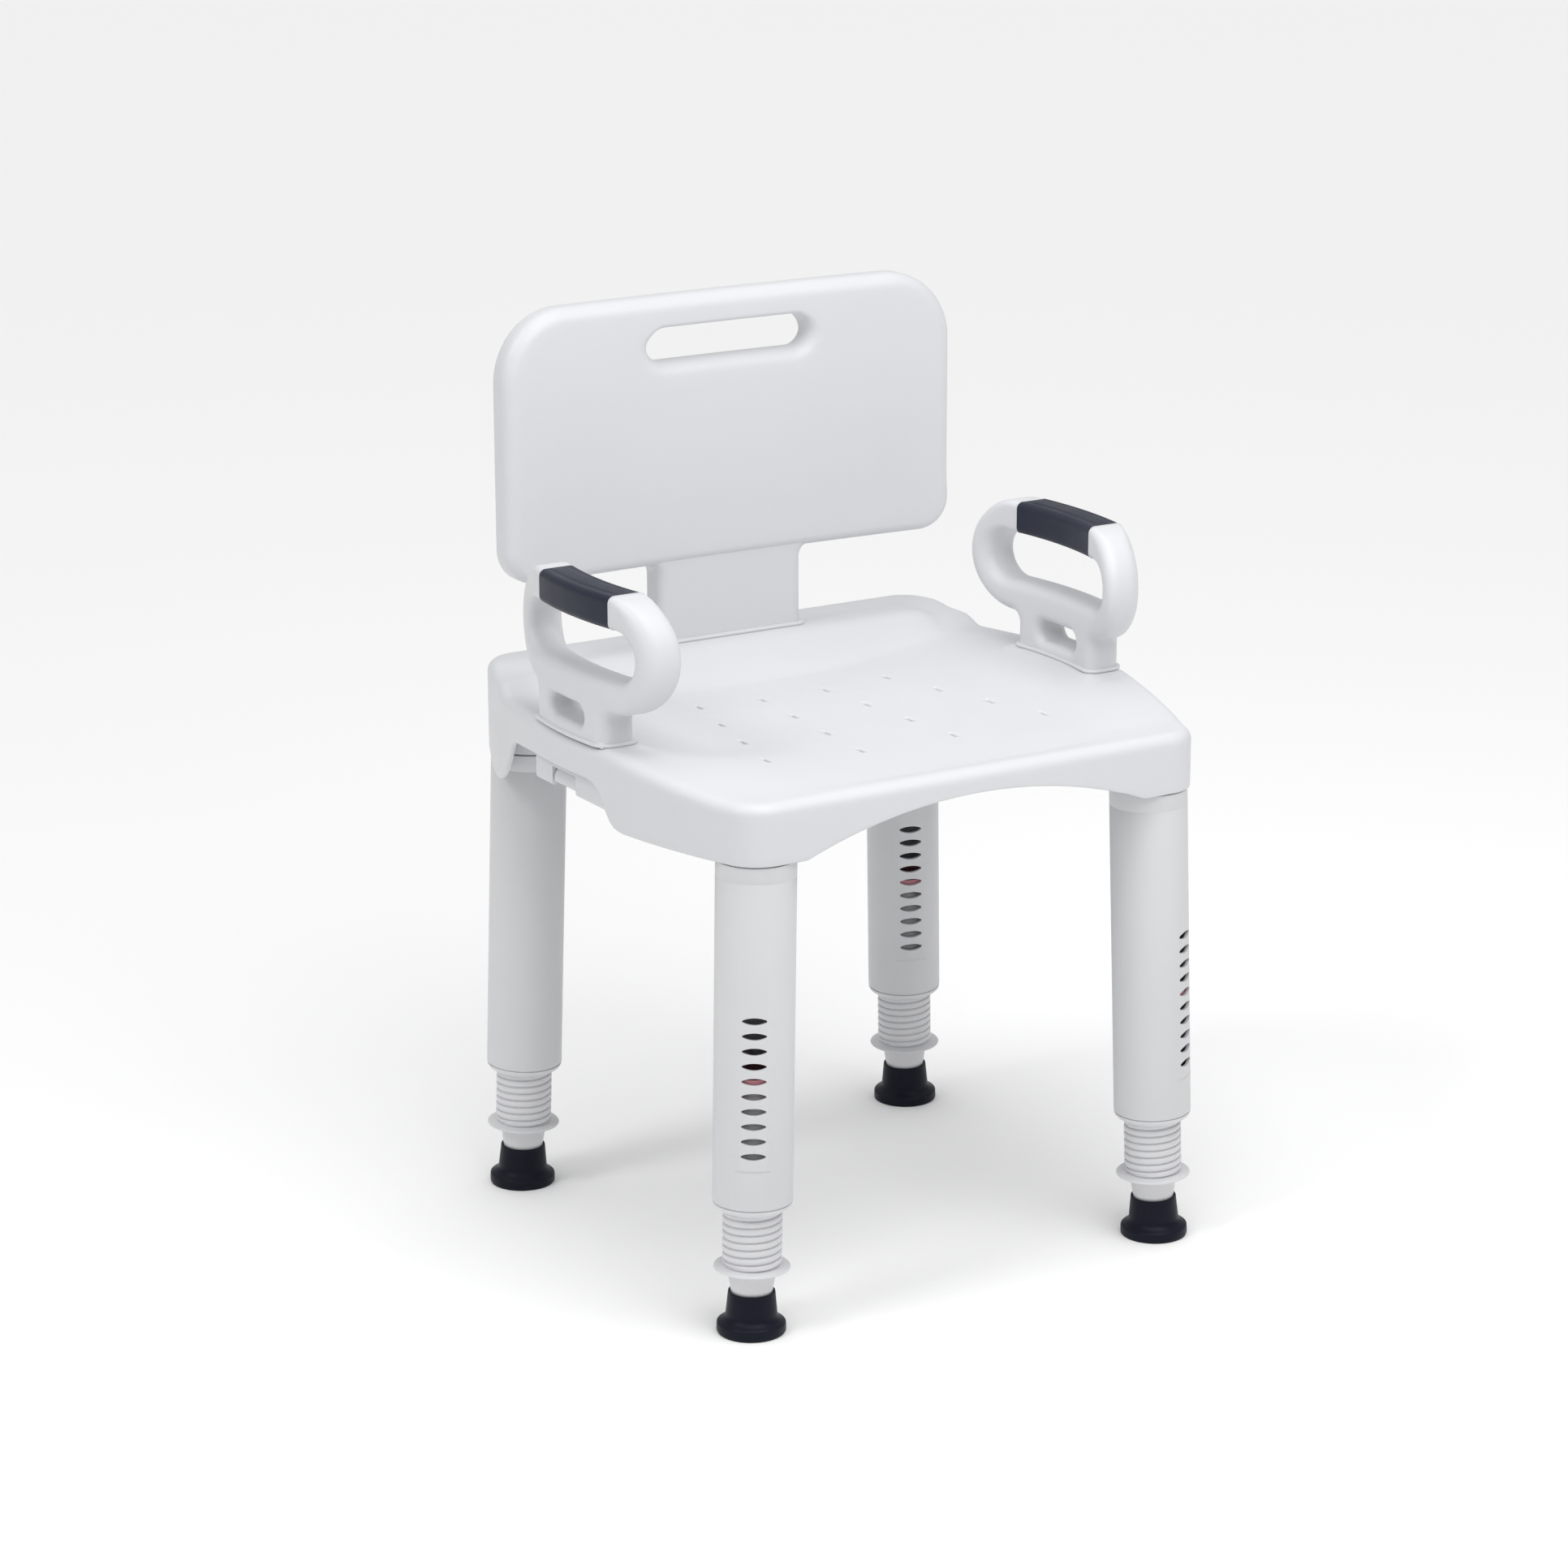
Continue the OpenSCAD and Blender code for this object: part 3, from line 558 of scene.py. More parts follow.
def seat_skin():
    """The seat's closed skin: pan, rims, rounded edge, skirts, and the same again on the inside."""
    solid = Solid()
    stack = []
    inner = (24, 20, 16, 12.5)
    turns = np.radians(np.linspace(0, 90, 8))
    for inset in inner:
        loop = seat_loop(inset)
        stack.append(raised(loop, seat_height(*loop.T)))
    for turn in turns[::-1]:
        loop = seat_loop(SEAT_EDGE_R * (1 - math.cos(turn)))
        stack.append(raised(loop, seat_height(*loop.T) - SEAT_EDGE_R * (1 - math.sin(turn))))
    outer = seat_loop(0)
    skirt = skirt_height(outer)
    lip = 1.5
    top = stack[-1][:, 2]
    for share in np.linspace(0, 1, 9)[1:]:
        stack.append(raised(outer, top + (skirt + lip - top) * share))
    for turn in np.radians((30, 60, 90)):
        loop = seat_loop(lip * (1 - math.cos(turn)))
        stack.append(raised(loop, skirt + lip * (1 - math.sin(turn))))
    for turn in np.radians((90, 60, 30, 0)):
        loop = seat_loop(SEAT_WALL - lip * (1 - math.cos(turn)))
        stack.append(raised(loop, skirt + lip * (1 - math.sin(turn))))
    wall = seat_loop(SEAT_WALL)
    fillet = 6
    under = seat_height(*wall.T) - SEAT_WALL - fillet
    for share in np.linspace(0, 1, 7)[1:]:
        stack.append(raised(wall, skirt + lip + (under - skirt - lip) * share))
    for turn in turns[1:]:
        loop = seat_loop(SEAT_WALL + fillet * (1 - math.cos(turn)))
        stack.append(raised(loop, seat_height(*loop.T) - SEAT_WALL - fillet * (1 - math.sin(turn))))
    for inset in inner[::-1]:
        loop = seat_loop(inset)
        stack.append(raised(loop, seat_height(*loop.T) - SEAT_WALL))
    solid.rings(stack, caps=False)
    plan = seat_lattice(inner[0])
    top = seat_height(plan[..., 0], plan[..., 1])
    solid.patch(np.dstack([plan, top]))
    solid.patch(np.dstack([plan, top - SEAT_WALL]))
    return solid


def prism(solid, outline, centre, low, high):
    """An upright bar on a plan outline."""
    plan = outline + np.array(centre)
    solid.rings([np.column_stack([plan, np.full(len(plan), float(z))]) for z in (low, high)])


def drain(solid, x, y):
    """A drain slot whose edge flares softly into the sitting surface."""
    top = seat_height(np.array([float(x)]), np.array([float(y)]))[0]
    flare = ((-30, 0), (-DRAIN_FLARE, 0), (-0.9, 0.2), (-0.35, 0.75), (0, DRAIN_FLARE), (3, 8))
    rings = []
    for above, wider in flare:
        plan = rounded_box(DRAIN_W / 2 + wider, DRAIN_LEN / 2 + wider, DRAIN_W / 2 + wider - 0.01, 6)
        rings.append(np.column_stack([plan + np.array([x, y]), np.full(len(plan), top + above)]))
    solid.rings(rings)


def ribs():
    """Stiffening ribs under the pan, fading out before they reach the skirts."""
    solid = Solid()
    lines = np.arange(-3, 4) * RIB_GAP
    margin, fade, sunk, points = 6, 50, 0.5, 80

    def rib(x, y, side, to_edge):
        """One rib along a run of places, widened to either side; to_edge is the way left to the skirt."""
        top = seat_height(x, y) - SEAT_WALL + sunk
        low = top - sunk - RIB_DEPTH * smooth_step(to_edge, 0, fade)
        section = ((-RIB_HALF_T, 0), (-RIB_HALF_T, 1), (RIB_HALF_T, 1), (RIB_HALF_T, 0))
        shape = [np.column_stack([x + off * side[0], y + off * side[1], top + (low - top) * down])
                 for off, down in section]
        solid.rings(np.array(shape).transpose(1, 0, 2))

    for at in lines:
        run = np.linspace(-SEAT_FRONT_Y + margin, SEAT_REAR_Y - margin, points)
        to_edge = np.minimum(run + SEAT_FRONT_Y, SEAT_REAR_Y - run) - margin
        rib(np.full(len(run), float(at)), run, (1, 0), to_edge)
        half_w = math.sqrt(SEAT_SIDE_R ** 2 - (at - SEAT_SIDE_Y) ** 2) - SIDE_CENTRE - margin
        run = np.linspace(-half_w, half_w, points)
        rib(run, np.full(len(run), float(at)), (0, 1), half_w - np.abs(run))
    return solid


def flat_place(centre_x, centre_y, quarter=False):
    """Puts a plan outline upright at a place; quarter turns it so that it runs front to rear."""
    def place(a, b, depth):
        x, y = (b, a) if quarter else (a, b)
        return np.column_stack([centre_x + x, centre_y + y, depth])
    return place


def even(radius, hole_radius=None):
    """The same edge radius all the way round."""
    def rim(loop, hole, face):
        return np.full(len(loop), float(radius if hole_radius is None or not hole else hole_radius))
    return rim


def joined(name, objects):
    """One object from several meshes that belong to the same moulding."""
    shape = bmesh.new()
    for made in objects:
        shape.from_mesh(made.data)
    mesh = bpy.data.meshes.new(name)
    shape.to_mesh(mesh)
    shape.free()
    for made in objects:
        bpy.data.objects.remove(made)
    whole = bpy.data.objects.new(name, mesh)
    bpy.context.scene.collection.objects.link(whole)
    return whole


def cut_seat(skin):
    """Cuts the tenon holes and the drain slots through the seat's skin."""
    hole_t = TENON_HALF_T + SOCKET_GAP
    holes = Solid()
    for side in (-1, 1):
        arm_hole = rounded_box(hole_t, ARM_TENON_HALF_LEN + SOCKET_GAP, 1, 3)
        prism(holes, arm_hole, (side * ARM_TENON_X, 0), 400, 500)
    back_hole = rounded_box(BACK_TENON_HALF_LEN + SOCKET_GAP, hole_t, 1, 3)
    prism(holes, back_hole, (0, BACK_TENON_Y), 420, 520)
    for row in range(DRAIN_ROWS):
        for place in (-1, -1 / 3, 1 / 3, 1):
            half_row = DRAIN_REAR_X + DRAIN_SPREAD * row
            drain(holes, place * half_row, DRAIN_REAR_Y - DRAIN_ROW_GAP * row)
    cut_away(skin, holes)


def build_brackets():
    """The brackets under the seat that hold the tenons, with a window for each latch's nose."""
    hole_t = TENON_HALF_T + SOCKET_GAP
    brackets = Solid()
    for side in (-1, 1):
        outline = rounded_box(ARM_BRACKET_HALF_LEN, BRACKET_REACH + 0.5, 5) + np.array([ARM_BRACKET_Y, 0])
        brackets.slab(outline, [rounded_box(ARM_TENON_HALF_LEN + SOCKET_GAP, hole_t, 1)],
                      ARM_BRACKET_LOW_Z, ARM_BRACKET_TOP_Z,
                      flat_place(side * ARM_TENON_X, 0, True), even(3, 0.5))
    brackets.slab(rounded_box(BACK_BRACKET_HALF_W, BRACKET_REACH, 2),
                  [rounded_box(BACK_TENON_HALF_LEN + SOCKET_GAP, hole_t, 1)],
                  BACK_BRACKET_LOW_Z, BACK_BRACKET_TOP_Z,
                  flat_place(0, BACK_TENON_Y), even(1, 0.5))
    frames = make_object("brackets", brackets)
    windows = Solid()
    for side in (-1, 1):
        arm_window = rounded_box(LATCH_HOLE_HALF_T, LATCH_HOLE_HALF_W, 1, 3)
        centre = (side * (ARM_TENON_X + BRACKET_REACH), ARM_LATCH_Y)
        prism(windows, arm_window, centre, *ARM_LATCH_HOLE_Z)
    back_window = rounded_box(LATCH_HOLE_HALF_W, LATCH_HOLE_HALF_T, 1, 3)
    prism(windows, back_window, (0, BACK_TENON_Y + BRACKET_REACH), *BACK_LATCH_HOLE_Z)
    cut_away(frames, windows)
    return frames


def build_seat():
    """The seat moulding: skin, brackets, leg sockets and ribs in one object."""
    skin = make_object("seat_skin", seat_skin())
    cut_seat(skin)
    frames = build_brackets()
    sockets = Solid()
    for sx, sy in LEGS.values():
        ring = Solid()
        ring.lathe([(SOCKET_BORE, SOCKET_LOW_Z), (SOCKET_R, SOCKET_LOW_Z),
                    (SOCKET_R, SOCKET_TOP_Z), (SOCKET_BORE, SOCKET_TOP_Z)])
        sockets.add(leg_points(ring, sx, sy), ring.faces)
    parts = [skin, frames, make_object("sockets", sockets), make_object("ribs", ribs())]
    seat = joined("seat_moulding", parts)
    put_in_place(seat, "chair", "white_plastic", WHITE, ["seat_shell"])


# ------------------------------------------------------------------ legs
LEGS = {"fl": (-1, -1), "fr": (1, -1), "rl": (-1, 1), "rr": (1, 1)}
# which way each leg's height windows face, in degrees from the front towards the right
WINDOWS_FACE = {"fl": -31, "fr": 31, "rl": -149, "rr": -20}
# soft edge of a height window: how far out from the tube's face, and how much wider
WINDOW_EDGE = ((-8, 0), (-0.6, 0), (-0.25, 0.05), (0, 0.3), (1.5, 1.8))
# how far a tick's foot and top stand out from the tube's face
TICK_FACES = (-0.5, 0.12)
# outlines to turn round a leg's axis, as (radius, height)
SCREW_PROFILE = (
    (17.3, 8.5), (17.3, 36), (17.6, 36.6), (18.1, 40), (18.7, 44), (19.3, 48), (19.9, 51.2), (20.7, 53.2),
    (22.2, 54.3), (24.5, 54.5), (30.6, 55.3), (31.5, 55.7), (FLANGE_R, 56.3), (31.5, 56.9), (30.6, 57.2),
    (26, 57.6), (24.4, 58), (23, 58.6), (22.4, 59),
)
NUT_PROFILE = (
    (25.4, 107.3), (26.2, 107), (27.4, 107.1), (28.3, 107.8), (29, 108.3), (30.5, 109.2), (31.7, 110.4),
    (32.5, 111.8), (NUT_R, 112.8), (32.6, 113.15), (32.1, 113.3), (31.6, 113.4), (31.5, 114.05),
    (29.9, 114.05), (29.9, 132), (24.95, 132), (24.95, 108),
)
FOOT_PROFILE = (
    (27.6, -2), (28.2, 0.6), (28.6, 1.4), (FOOT_R, 2.4), (28.6, 7.4), (28.3, 8.3), (27.6, 8.9), (25.8, 9.8),
    (24, 11), (22.6, 12.4), (21.8, 13.6), (21.4, 15), (21.2, 17), (19.6, 33.8), (19.4, 34.9),
    (18.9, FOOT_TOP_Z), (18.3, 35.3), (17.45, 34.5), (17.45, 8), (10, 8), (10, -2),
)


def leg_points(solid, sx, sy):
    """A solid's points moved from upright on the origin to a leg's leaning axis."""
    length = math.sqrt(1 + LEAN_X ** 2 + LEAN_Y ** 2)
    about_x = -math.asin(-sy * LEAN_Y / length)
    about_y = math.asin(-sx * LEAN_X / length / math.cos(about_x))
    turn = np.array(Matrix.Rotation(about_y, 3, "Y") @ Matrix.Rotation(about_x, 3, "X"))
    return np.vstack(solid.points) @ turn.T + np.array([sx * FOOT_X, sy * FOOT_Y, 0])


def threaded_barrel(solid, columns=72):
    """A right-hand single-start thread whose rows of points follow the helix."""
    tooth = ((0, 0), (0.08, 0.06), (0.16, 0.75), (0.3, 1), (0.7, 1), (0.84, 0.75), (0.92, 0.06))
    low, high = FLANGE_Z + 2, SCREW_TOP_Z
    turns = math.ceil((high - low) / THREAD_PITCH) + 2
    angles = np.linspace(0, 2 * np.pi, columns, endpoint=False)
    rows = []
    for turn in range(turns):
        for share, depth in tooth:
            z = low + THREAD_PITCH * (turn - 1.4 + share + angles / (2 * np.pi))
            fade = smooth_step(z, FLANGE_Z + 2.6, FLANGE_Z + 6) * (1 - smooth_step(z, high - 4, high - 1))
            radius = THREAD_ROOT_R + (THREAD_R - THREAD_ROOT_R) * depth * fade
            ring = [radius * np.cos(angles), radius * np.sin(angles), np.clip(z, low, high)]
            rows.append(np.column_stack(ring))
    faces = []
    for row in range(len(rows) - 1):
        for column in range(columns):
            here = row * columns + column
            if column < columns - 1:
                faces.append((here, here + 1, here + 1 + columns, here + columns))
            elif row + len(tooth) + 1 < len(rows):
                after = (row + len(tooth)) * columns
                faces.append((here, after, after + columns, here + columns))
    solid.add(rows, faces)
    bore = THREAD_ROOT_R - 3
    closing = [(THREAD_ROOT_R, low), (bore, low), (bore, high), (THREAD_ROOT_R, high)]
    solid.lathe(closing, columns, looped=False)


def window_outline(wider):
    """The oval of a height window, as (across, up), from two flat arcs and two tip arcs."""
    tip_x = WINDOW_HALF_W - WINDOW_TIP_R
    rise = WINDOW_HALF_H - WINDOW_TIP_R
    radius = (tip_x ** 2 + WINDOW_HALF_H ** 2 - WINDOW_TIP_R ** 2) / (2 * rise)
    turn = math.degrees(math.atan2(radius - WINDOW_HALF_H, tip_x))
    flat = arc(0, WINDOW_HALF_H - radius, radius + wider, turn, 180 - turn, 20)
    tip = arc(-tip_x, 0, WINDOW_TIP_R + wider, 180 - turn, 180 + turn, 6)[1:-1]
    return np.vstack([flat, tip, -flat, -tip])


def on_tube(outline, reach, facing, z):
    """Wraps an outline round the tube at a distance from its axis, facing degrees from the front."""
    y = -np.sqrt(reach ** 2 - outline[:, 0] ** 2)
    turn = math.radians(facing)
    return np.column_stack([
        outline[:, 0] * math.cos(turn) - y * math.sin(turn),
        outline[:, 0] * math.sin(turn) + y * math.cos(turn),
        outline[:, 1] + z,
    ])


def tube_shell(sx, sy):
    """A plain leg tube with a fine ring near its top, cut level under the seat."""
    ring_z = TUBE_TOP_Z - 14
    over_top = TUBE_TOP_Z + 3
    tube = Solid()
    tube.lathe([
        (TUBE_BORE, TUBE_END_Z + 0.05), (TUBE_R - 0.7, TUBE_END_Z + 0.05), (TUBE_R - 0.2, TUBE_END_Z + 0.3),
        (TUBE_R, TUBE_END_Z + 0.9), (TUBE_R, ring_z - 0.8), (TUBE_R - 0.25, ring_z - 0.3),
        (TUBE_R - 0.25, ring_z + 0.3), (TUBE_R, ring_z + 0.8), (TUBE_R, over_top), (TUBE_BORE, over_top),
    ], steps=120)
    placed = Solid()
    points = leg_points(tube, sx, sy)
    points[:, 2] = np.minimum(points[:, 2], TUBE_TOP_Z)
    placed.add(points, tube.faces)
    return make_object("tube", placed)


def build_tube(leg, sx, sy, facing):
    """A leg tube with softly edged height windows, a tick at both ends of each, and its spigot."""
    made = tube_shell(sx, sy)
    holes, details = Solid(), Solid()
    for k in range(WINDOW_COUNT):
        z = WINDOW_LOW_Z + k * WINDOW_PITCH
        holes.rings([on_tube(window_outline(wider), TUBE_R + out, facing, z) for out, wider in WINDOW_EDGE])
        for side in (-1, 1):
            tick = rounded_box(TICK_HALF_LEN, TICK_HALF_H, 0.4, 3)
            tick += np.array([side * (WINDOW_HALF_W + 4.5), 0])
            details.rings([on_tube(tick, TUBE_R + out, facing, z) for out in TICK_FACES])
    tick = spaced(rounded_box(LONG_TICK_HALF_LEN, TICK_HALF_H, 0.4, 3), 2)
    z = WINDOW_LOW_Z - WINDOW_PITCH
    details.rings([on_tube(tick, TUBE_R + out, facing, z) for out in TICK_FACES])
    cutters = Solid()
    cutters.add(leg_points(holes, sx, sy), holes.faces)
    cut_away(made, cutters)
    spigot_r, spigot_bore = TUBE_BORE - 0.1, TUBE_BORE - 3.1
    details.lathe([(spigot_bore, SPIGOT_LOW_Z), (spigot_r, SPIGOT_LOW_Z),
                   (spigot_r, SPIGOT_TOP_Z), (spigot_bore, SPIGOT_TOP_Z)])
    fittings = Solid()
    fittings.add(leg_points(details, sx, sy), details.faces)
    tube_object = joined(leg + "_outer_tube", [made, make_object("fittings", fittings)])
    put_in_place(tube_object, "chair", "tube_plastic", TUBE, [leg + "_leg_tube"])


def build_legs():
    """The four legs: threaded leg with its hand flange, end nut, rubber foot and outer tube."""
    screw, nut, foot = Solid(), Solid(), Solid()
    threaded_barrel(screw)
    screw.lathe(SCREW_PROFILE, looped=False)
    nut.lathe(NUT_PROFILE)
    foot.lathe(FOOT_PROFILE)
    for leg, (sx, sy) in LEGS.items():
        for name, shape, body, slot, material, node in (
            ("threaded_leg", screw, leg + "_threaded_leg", "leg_plastic", LEG, "screw_leg"),
            ("nut", nut, "chair", "leg_plastic", LEG, "end_nut"),
            ("rubber_foot", foot, leg + "_foot_slide", "foot_rubber", FOOT, "foot"),
        ):
            placed = Solid()
            points = leg_points(shape, sx, sy)
            points[:, 2] = np.maximum(points[:, 2], 0)
            placed.add(points, shape.faces)
            made = make_object(f"{leg}_{name}", placed)
            put_in_place(made, body, slot, material, [f"{leg}_{node}"])
        build_tube(leg, sx, sy, WINDOWS_FACE[leg])


# ------------------------------------------------------------------ back
def back_place(a, b, depth):
    """The back panel stands in the X-Z plane, its ends bowed forward."""
    return np.column_stack([a, depth - BACK_BOW * (a / BACK_HALF_W) ** 2, b])


def build_back():
    """The back in one moulding: panel with its handle slot, stem, foot lip and tenon."""
    solid = Solid()
    low, high = BACK_LOW_Z, BACK_TOP_Z
    low_r, top_r = BACK_LOW_CORNER_R, BACK_TOP_CORNER_R
    panel = np.vstack([
        arc(BACK_HALF_W - low_r, low + low_r, low_r, -90, 0, 12),
        arc(BACK_HALF_W - top_r, high - top_r, top_r, 0, 90, 20),
        arc(top_r - BACK_HALF_W, high - top_r, top_r, 90, 180, 20),
        arc(low_r - BACK_HALF_W, low + low_r, low_r, 180, 270, 12),
    ])
    slot = np.vstack([
        arc(SLOT_HALF_LEN - SLOT_R, SLOT_Z, SLOT_R, -90, 90, 20),
        arc(SLOT_R - SLOT_HALF_LEN, SLOT_Z, SLOT_R, 90, 270, 20),
    ])

    def panel_rim(loop, hole, face):
        """Softer edges on the front, and softest along the slot's lower edge."""
        z = loop[:, 1]
        if hole:
            low_edge = smooth_step(-z, -SLOT_Z - SLOT_R, 5 - SLOT_Z)
            return 4 + 10 * low_edge if face == 0 else 3 + 8 * low_edge
        return 9 + 4 * smooth_step(z, low, low + 60) if face == 0 else 0 * z + 7

    solid.slab(panel, [slot], BACK_Y, BACK_REAR_Y, back_place, panel_rim)
    half_w, fillet = STEM_HALF_W, STEM_FILLET
    wide, over = half_w + fillet, low + STEM_OVERLAP
    stem = np.vstack([
        [(-half_w, LEDGE_Z), (half_w, LEDGE_Z)],
        arc(wide, low - fillet, fillet, 180, 90, 8),
        [(wide, over), (-wide, over)],
        arc(-wide, low - fillet, fillet, 90, 0, 8),
    ])

    def stem_rim(loop, hole, face):
        return 0 * loop[:, 1] + (9 if face == 0 else 5)

    solid.slab(stem, [], BACK_Y + 2.5, BACK_REAR_Y, back_place, stem_rim, fixed=LEDGE_Z)
    place = flat_place(0, BACK_TENON_Y)
    lip = rounded_box(half_w + 2.5, 16.5, 8)
    solid.slab(lip, [], LEDGE_Z, LEDGE_Z + 2.6, place, even(1))
    tenon = rounded_box(BACK_TENON_HALF_LEN, TENON_HALF_T, 2.5)
    solid.slab(tenon, [], BACK_TENON_LOW_Z, LEDGE_Z + 1, place, even(1.5))
    put_in_place(make_object("back_panel", solid), "back", "white_plastic", WHITE, ["backrest"])


# ------------------------------------------------------------------ armrests
def arm_place(a, b, depth):
    """An armrest stands in the Y-Z plane, bowed outwards in the middle like the seat's side."""
    return np.column_stack([ARM_X - ARM_BOW_R + np.sqrt((ARM_BOW_R + depth) ** 2 - a ** 2), a, b])


def foot_place(a, b, depth):
    """A plan outline along an armrest's bow, standing upright."""
    return arm_place(a, depth, b)


def arm_outline(shift):
    """The loop with the neck under it, shifted to the rear, and a fillet on each side."""
    fillet = NECK_FILLET
    loop_y = LOOP_HALF_LEN - LOOP_R
    reach = LOOP_R + fillet
    rear, front = [], []
    for half, neck_y in ((rear, NECK_HALF_LEN + shift), (front, NECK_HALF_LEN - shift)):
        fillet_y = neck_y + fillet
        drop = math.sqrt(reach ** 2 - (fillet_y - loop_y) ** 2)
        lean = math.degrees(math.atan2(drop, fillet_y - loop_y))
        half.append([(neck_y, RIM_Z)])
        half.append(arc(fillet_y, LOOP_Z - drop, fillet, 180, 180 - lean, 6))
        half.append(arc(loop_y, LOOP_Z, LOOP_R, -lean, 90, 28)[1:])
    return np.vstack([np.vstack(rear), (np.vstack(front) * np.array([-1, 1]))[::-1]])


def stadium(half_len, radius, z):
    """A long hole with round ends, level at a height."""
    return np.vstack([
        arc(half_len - radius, z, radius, -90, 90, 16),
        arc(radius - half_len, z, radius, 90, 270, 16),
    ])


def arm_rim(loop, hole, face):
    """Full round edges, tighter along the top bar where the grip sits."""
    y, z = np.abs(loop[:, 0]), loop[:, 1]
    if hole and z.max() < LOOP_Z - LOOP_R + 10:
        return 0 * z + 8
    on_bar = smooth_step(z, 560, 590) if not hole else smooth_step(z, 550, 568)
    tight = on_bar * (1 - smooth_step(y, 60, 95))
    return (10 if hole else 11.5) * (1 - tight) + 5.5 * tight


def grip_section(grow):
    """Outline across the top bar, as (depth, height)."""
    low, high = HAND_Z + HAND_R, LOOP_Z + LOOP_R
    outline = rounded_box(ARM_HALF_T + grow, (high - low) / 2 + grow, 5.5 + grow, 6)
    outline = spaced(outline, 1.2)
    outline[:, 1] += (low + high) / 2
    return outline


def build_arm(side):
    """An armrest moulding with its neck, lip and tenon, and the soft grip on its top bar."""
    name = "left" if side < 0 else "right"
    body = name + "_arm"
    solid = Solid()
    shift = np.array([-side * NECK_SHIFT, 0])
    neck_slot = stadium(NECK_SLOT_HALF_LEN, NECK_SLOT_R, NECK_SLOT_Z) + shift
    openings = [stadium(HAND_HALF_LEN, HAND_R, HAND_Z), neck_slot]
    solid.slab(arm_outline(shift[0]), openings, -ARM_HALF_T, ARM_HALF_T, arm_place, arm_rim,
               gap=5, fixed=RIM_Z)
    lip = rounded_box(NECK_HALF_LEN + 3.5, ARM_HALF_T + 2.5, 13) + shift
    solid.slab(lip, [], RIM_Z, RIM_Z + 2.8, foot_place, even(1.2))
    tenon = rounded_box(ARM_TENON_HALF_LEN, TENON_HALF_T, 2.5)
    solid.slab(tenon, [], ARM_TENON_LOW_Z, RIM_Z + 1, flat_place(ARM_TENON_X, 0, True), even(1.5))
    # a fine bead where the moulding meets each end of the soft grip
    section = grip_section(0)
    normal = outward(section)
    for end in (GRIP_FRONT_Y, GRIP_REAR_Y):
        bead = []
        for turn in np.radians(np.arange(0, 360, 45)):
            ring = section + normal * (0.1 + 0.45 * math.cos(turn))
            bead.append(arm_place(np.full(len(ring), end + 0.5 * math.sin(turn)), ring[:, 1], ring[:, 0]))
        solid.rings(bead, looped=True)
    grip = Solid()
    stations = np.concatenate([
        [GRIP_FRONT_Y + 0.4], np.linspace(GRIP_FRONT_Y + 1, GRIP_REAR_Y - 1, 36), [GRIP_REAR_Y - 0.4]])
    rings = []
    for k, y in enumerate(stations):
        ring = grip_section(-0.3 if k in (0, len(stations) - 1) else 0.25)
        across = np.abs(ring[:, 0])
        ridge = 0.7 * (1 - smooth_step(across, 5, 8)) - 0.25 * np.exp(-((across - 9) / 1.3) ** 2)
        from_end = min(y - GRIP_FRONT_Y, GRIP_REAR_Y - y)
        lift = ridge * smooth_step(ring[:, 1], 592, 597) * smooth_step(from_end, 1, 12)
        rings.append(arm_place(np.full(len(ring), y), ring[:, 1] + lift, ring[:, 0]))
    grip.rings(rings)
    for shape, piece, slot, material, node in (
        (solid, "_arm_loop", "white_plastic", WHITE, "_armrest"),
        (grip, "_soft_grip", "grip_rubber", GRIP, "_grip"),
    ):
        placed = Solid()
        placed.add(np.vstack(shape.points) * np.array([side, 1, 1]), shape.faces)
        made = make_object(name + piece, placed)
        put_in_place(made, body, slot, material, [name + node])


# ------------------------------------------------------------------ latches
def build_latch(name, body, low, place, node):
    """A springy tongue against a tenon's face, with a wedge-shaped nose in the bracket's window.
    place turns (across, up, outward from the tongue's outer face) into x, y, z."""
    solid = Solid()
    tongue = rounded_box(LATCH_HALF_W, LATCH_TALL / 2, 3) + np.array([0, low + LATCH_TALL / 2])
    solid.slab(tongue, [], -LATCH_T, 0, place, even(0.6))
    nose = ((-1, 0), (3.2, 0), (3.9, 0.7), (3.9, 4), (3.4, 6.5), (0, 12), (-1, 12))
    section = np.array([(out, low + up) for out, up in nose])
    end, shoulder = LATCH_HALF_W - 0.5, LATCH_HALF_W - 1.1
    rings = []
    for across, inset in ((-end, 0.5), (-shoulder, 0), (shoulder, 0), (end, 0.5)):
        ring = section - outward(section) * inset
        rings.append(place(np.full(len(ring), across), ring[:, 1], ring[:, 0]))
    solid.rings(rings)
    put_in_place(make_object(name, solid), body, "latch_plastic", LATCH, [node])


def build_latches():
    """One latch on each armrest's tenon and one on the back's."""
    def arm_latch_place(side):
        def place(across, up, out):
            x = side * (ARM_LATCH_X + out)
            return np.column_stack([x, ARM_LATCH_Y + across, np.broadcast_to(up, across.shape)])
        return place

    def back_latch_place(across, up, out):
        return np.column_stack([across, BACK_LATCH_Y + out, np.broadcast_to(up, across.shape)])

    for side, name in ((-1, "left"), (1, "right")):
        build_latch(name + "_release_latch", name + "_arm", ARM_LATCH_LOW_Z, arm_latch_place(side),
                    name + "_arm_latch")
    build_latch("back_release_latch", "back", BACK_LATCH_LOW_Z, back_latch_place, "back_latch")


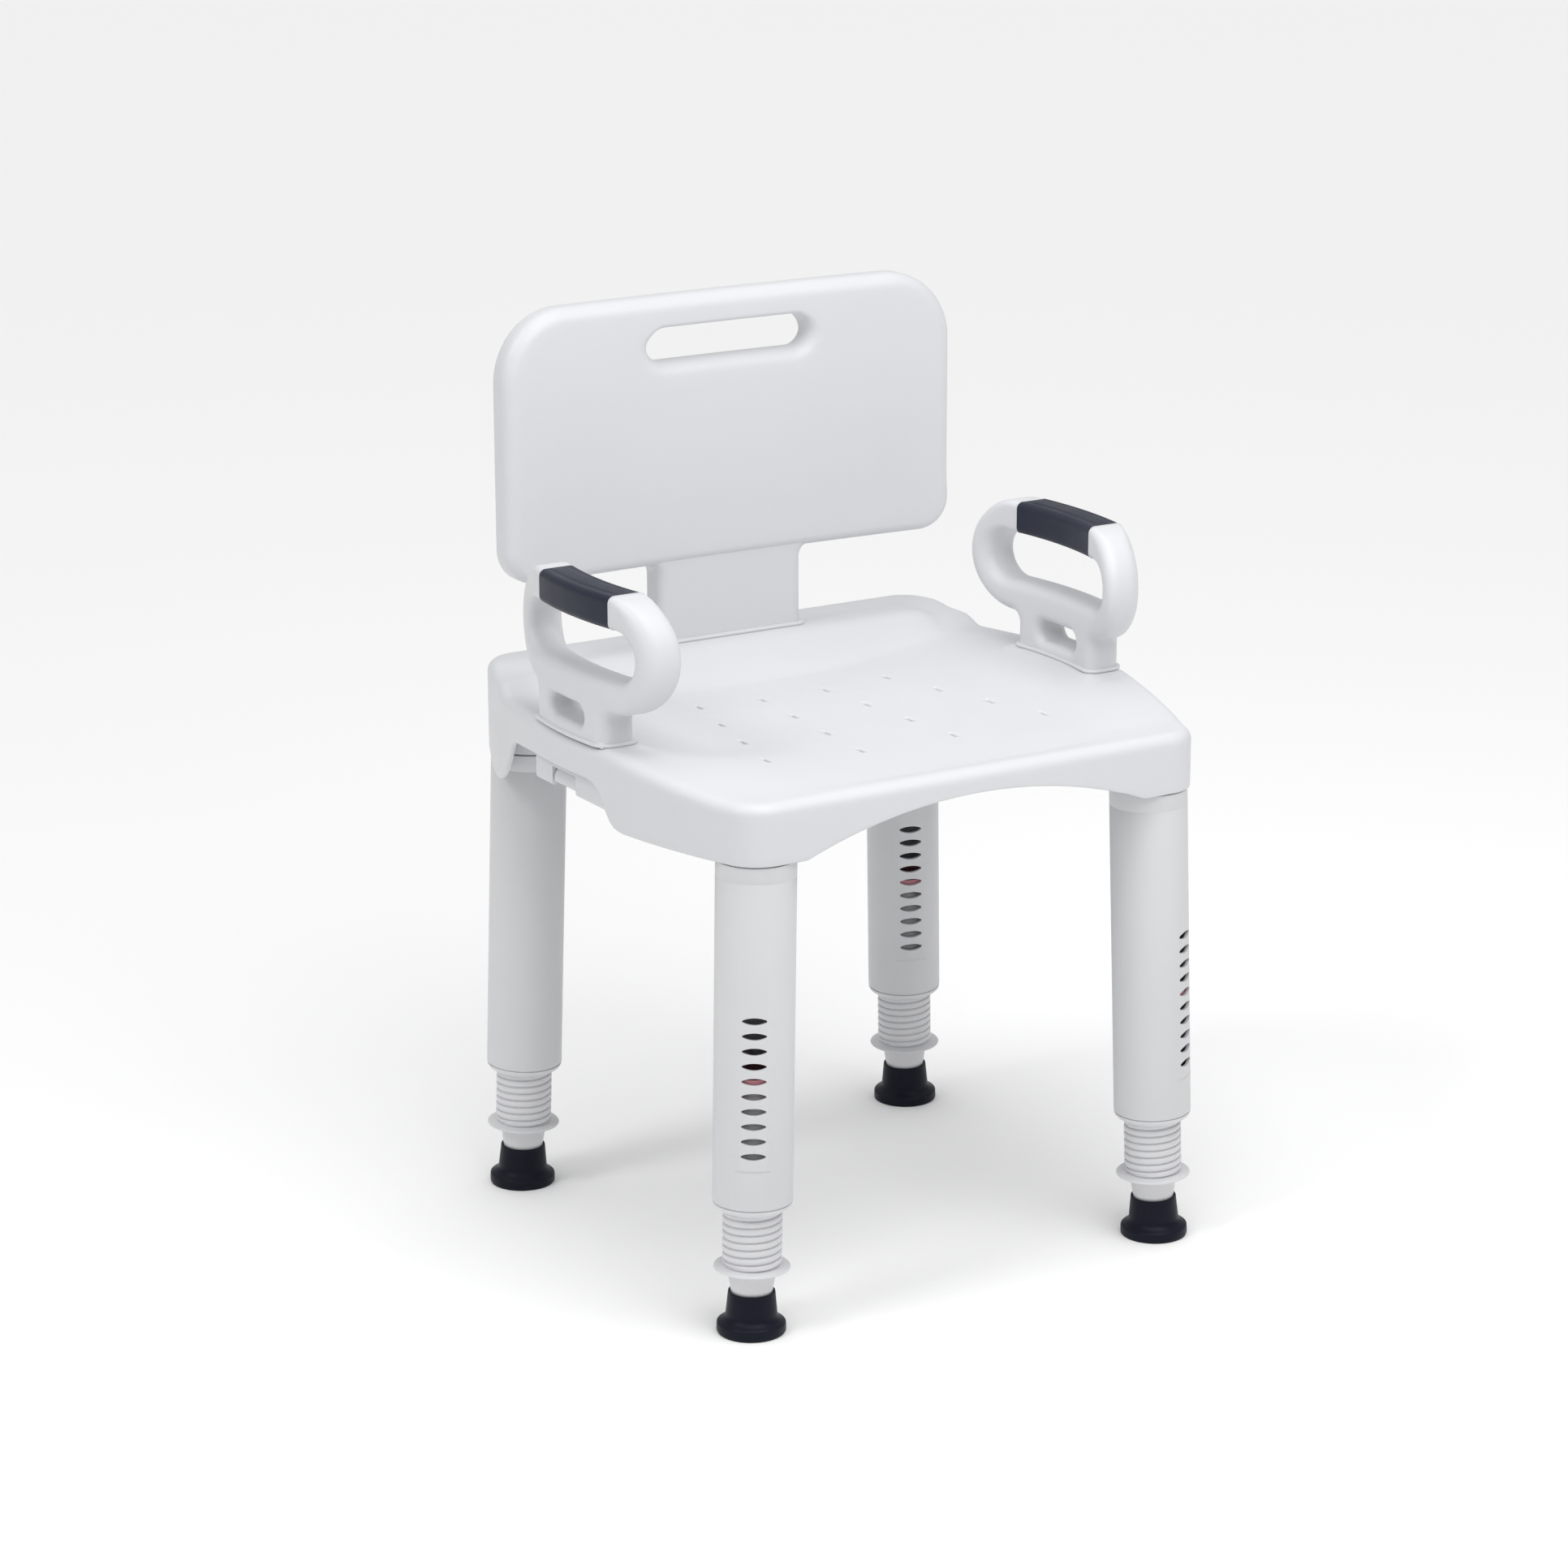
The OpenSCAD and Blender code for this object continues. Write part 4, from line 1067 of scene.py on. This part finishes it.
# ------------------------------------------------------------------ pieces kept as modelled in CAD
def dress_cad_nodes():
    """The height markers keep their CAD shape and get their finished material."""
    for node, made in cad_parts.items():
        if node.endswith("height_marker"):
            made.data.materials.clear()
            made.data.materials.append(MARKER)


# ------------------------------------------------------------------ floor and light
def build_studio():
    """A plain pale floor, an even surround, two broad suns and a softbox in front."""
    floor_mesh = bpy.data.meshes.new("floor")
    reach = 60
    floor_mesh.from_pydata([(-reach, -reach, 0), (reach, -reach, 0), (reach, reach, 0), (-reach, reach, 0)],
                           [], [(0, 1, 2, 3)])
    floor = bpy.data.objects.new("floor", floor_mesh)
    bpy.context.scene.collection.objects.link(floor)
    paper = bpy.data.materials.new("paper")
    paper.use_nodes = True
    paper.node_tree.nodes["Principled BSDF"].inputs["Base Color"].default_value = (0.97, 0.97, 0.97, 1)
    paper.node_tree.nodes["Principled BSDF"].inputs["Roughness"].default_value = 0.9
    floor_mesh.materials.append(paper)
    world = bpy.data.worlds.new("studio")
    world.use_nodes = True
    world.node_tree.nodes["Background"].inputs["Color"].default_value = (1, 1, 1, 1)
    world.node_tree.nodes["Background"].inputs["Strength"].default_value = 0.53
    bpy.context.scene.world = world
    for name, towards, spread, strength in (
        ("top_light", (0, 0.05, 1), 50, 0.78),
        ("left_light", (-0.8, -0.05, 0.8), 18, 0.6),
    ):
        light = bpy.data.lights.new(name, "SUN")
        light.angle = math.radians(spread)
        light.energy = strength
        lamp = bpy.data.objects.new(name, light)
        lamp.rotation_euler = Vector(towards).to_track_quat("Z", "Y").to_euler()
        bpy.context.scene.collection.objects.link(lamp)
    softbox = bpy.data.lights.new("softbox", "AREA")
    softbox.shape = "DISK"
    softbox.size = 1.4
    softbox.energy = 13
    lamp = bpy.data.objects.new("softbox", softbox)
    lamp.location = (0, -0.85, 1.65)
    lamp.rotation_euler = (lamp.location - Vector((0, 0.1, 0.6))).to_track_quat("Z", "Y").to_euler()
    bpy.context.scene.collection.objects.link(lamp)
    bpy.context.scene.view_settings.view_transform = "Standard"


build_seat()
build_legs()
build_back()
build_arm(-1)
build_arm(1)
build_latches()
dress_cad_nodes()
build_studio()
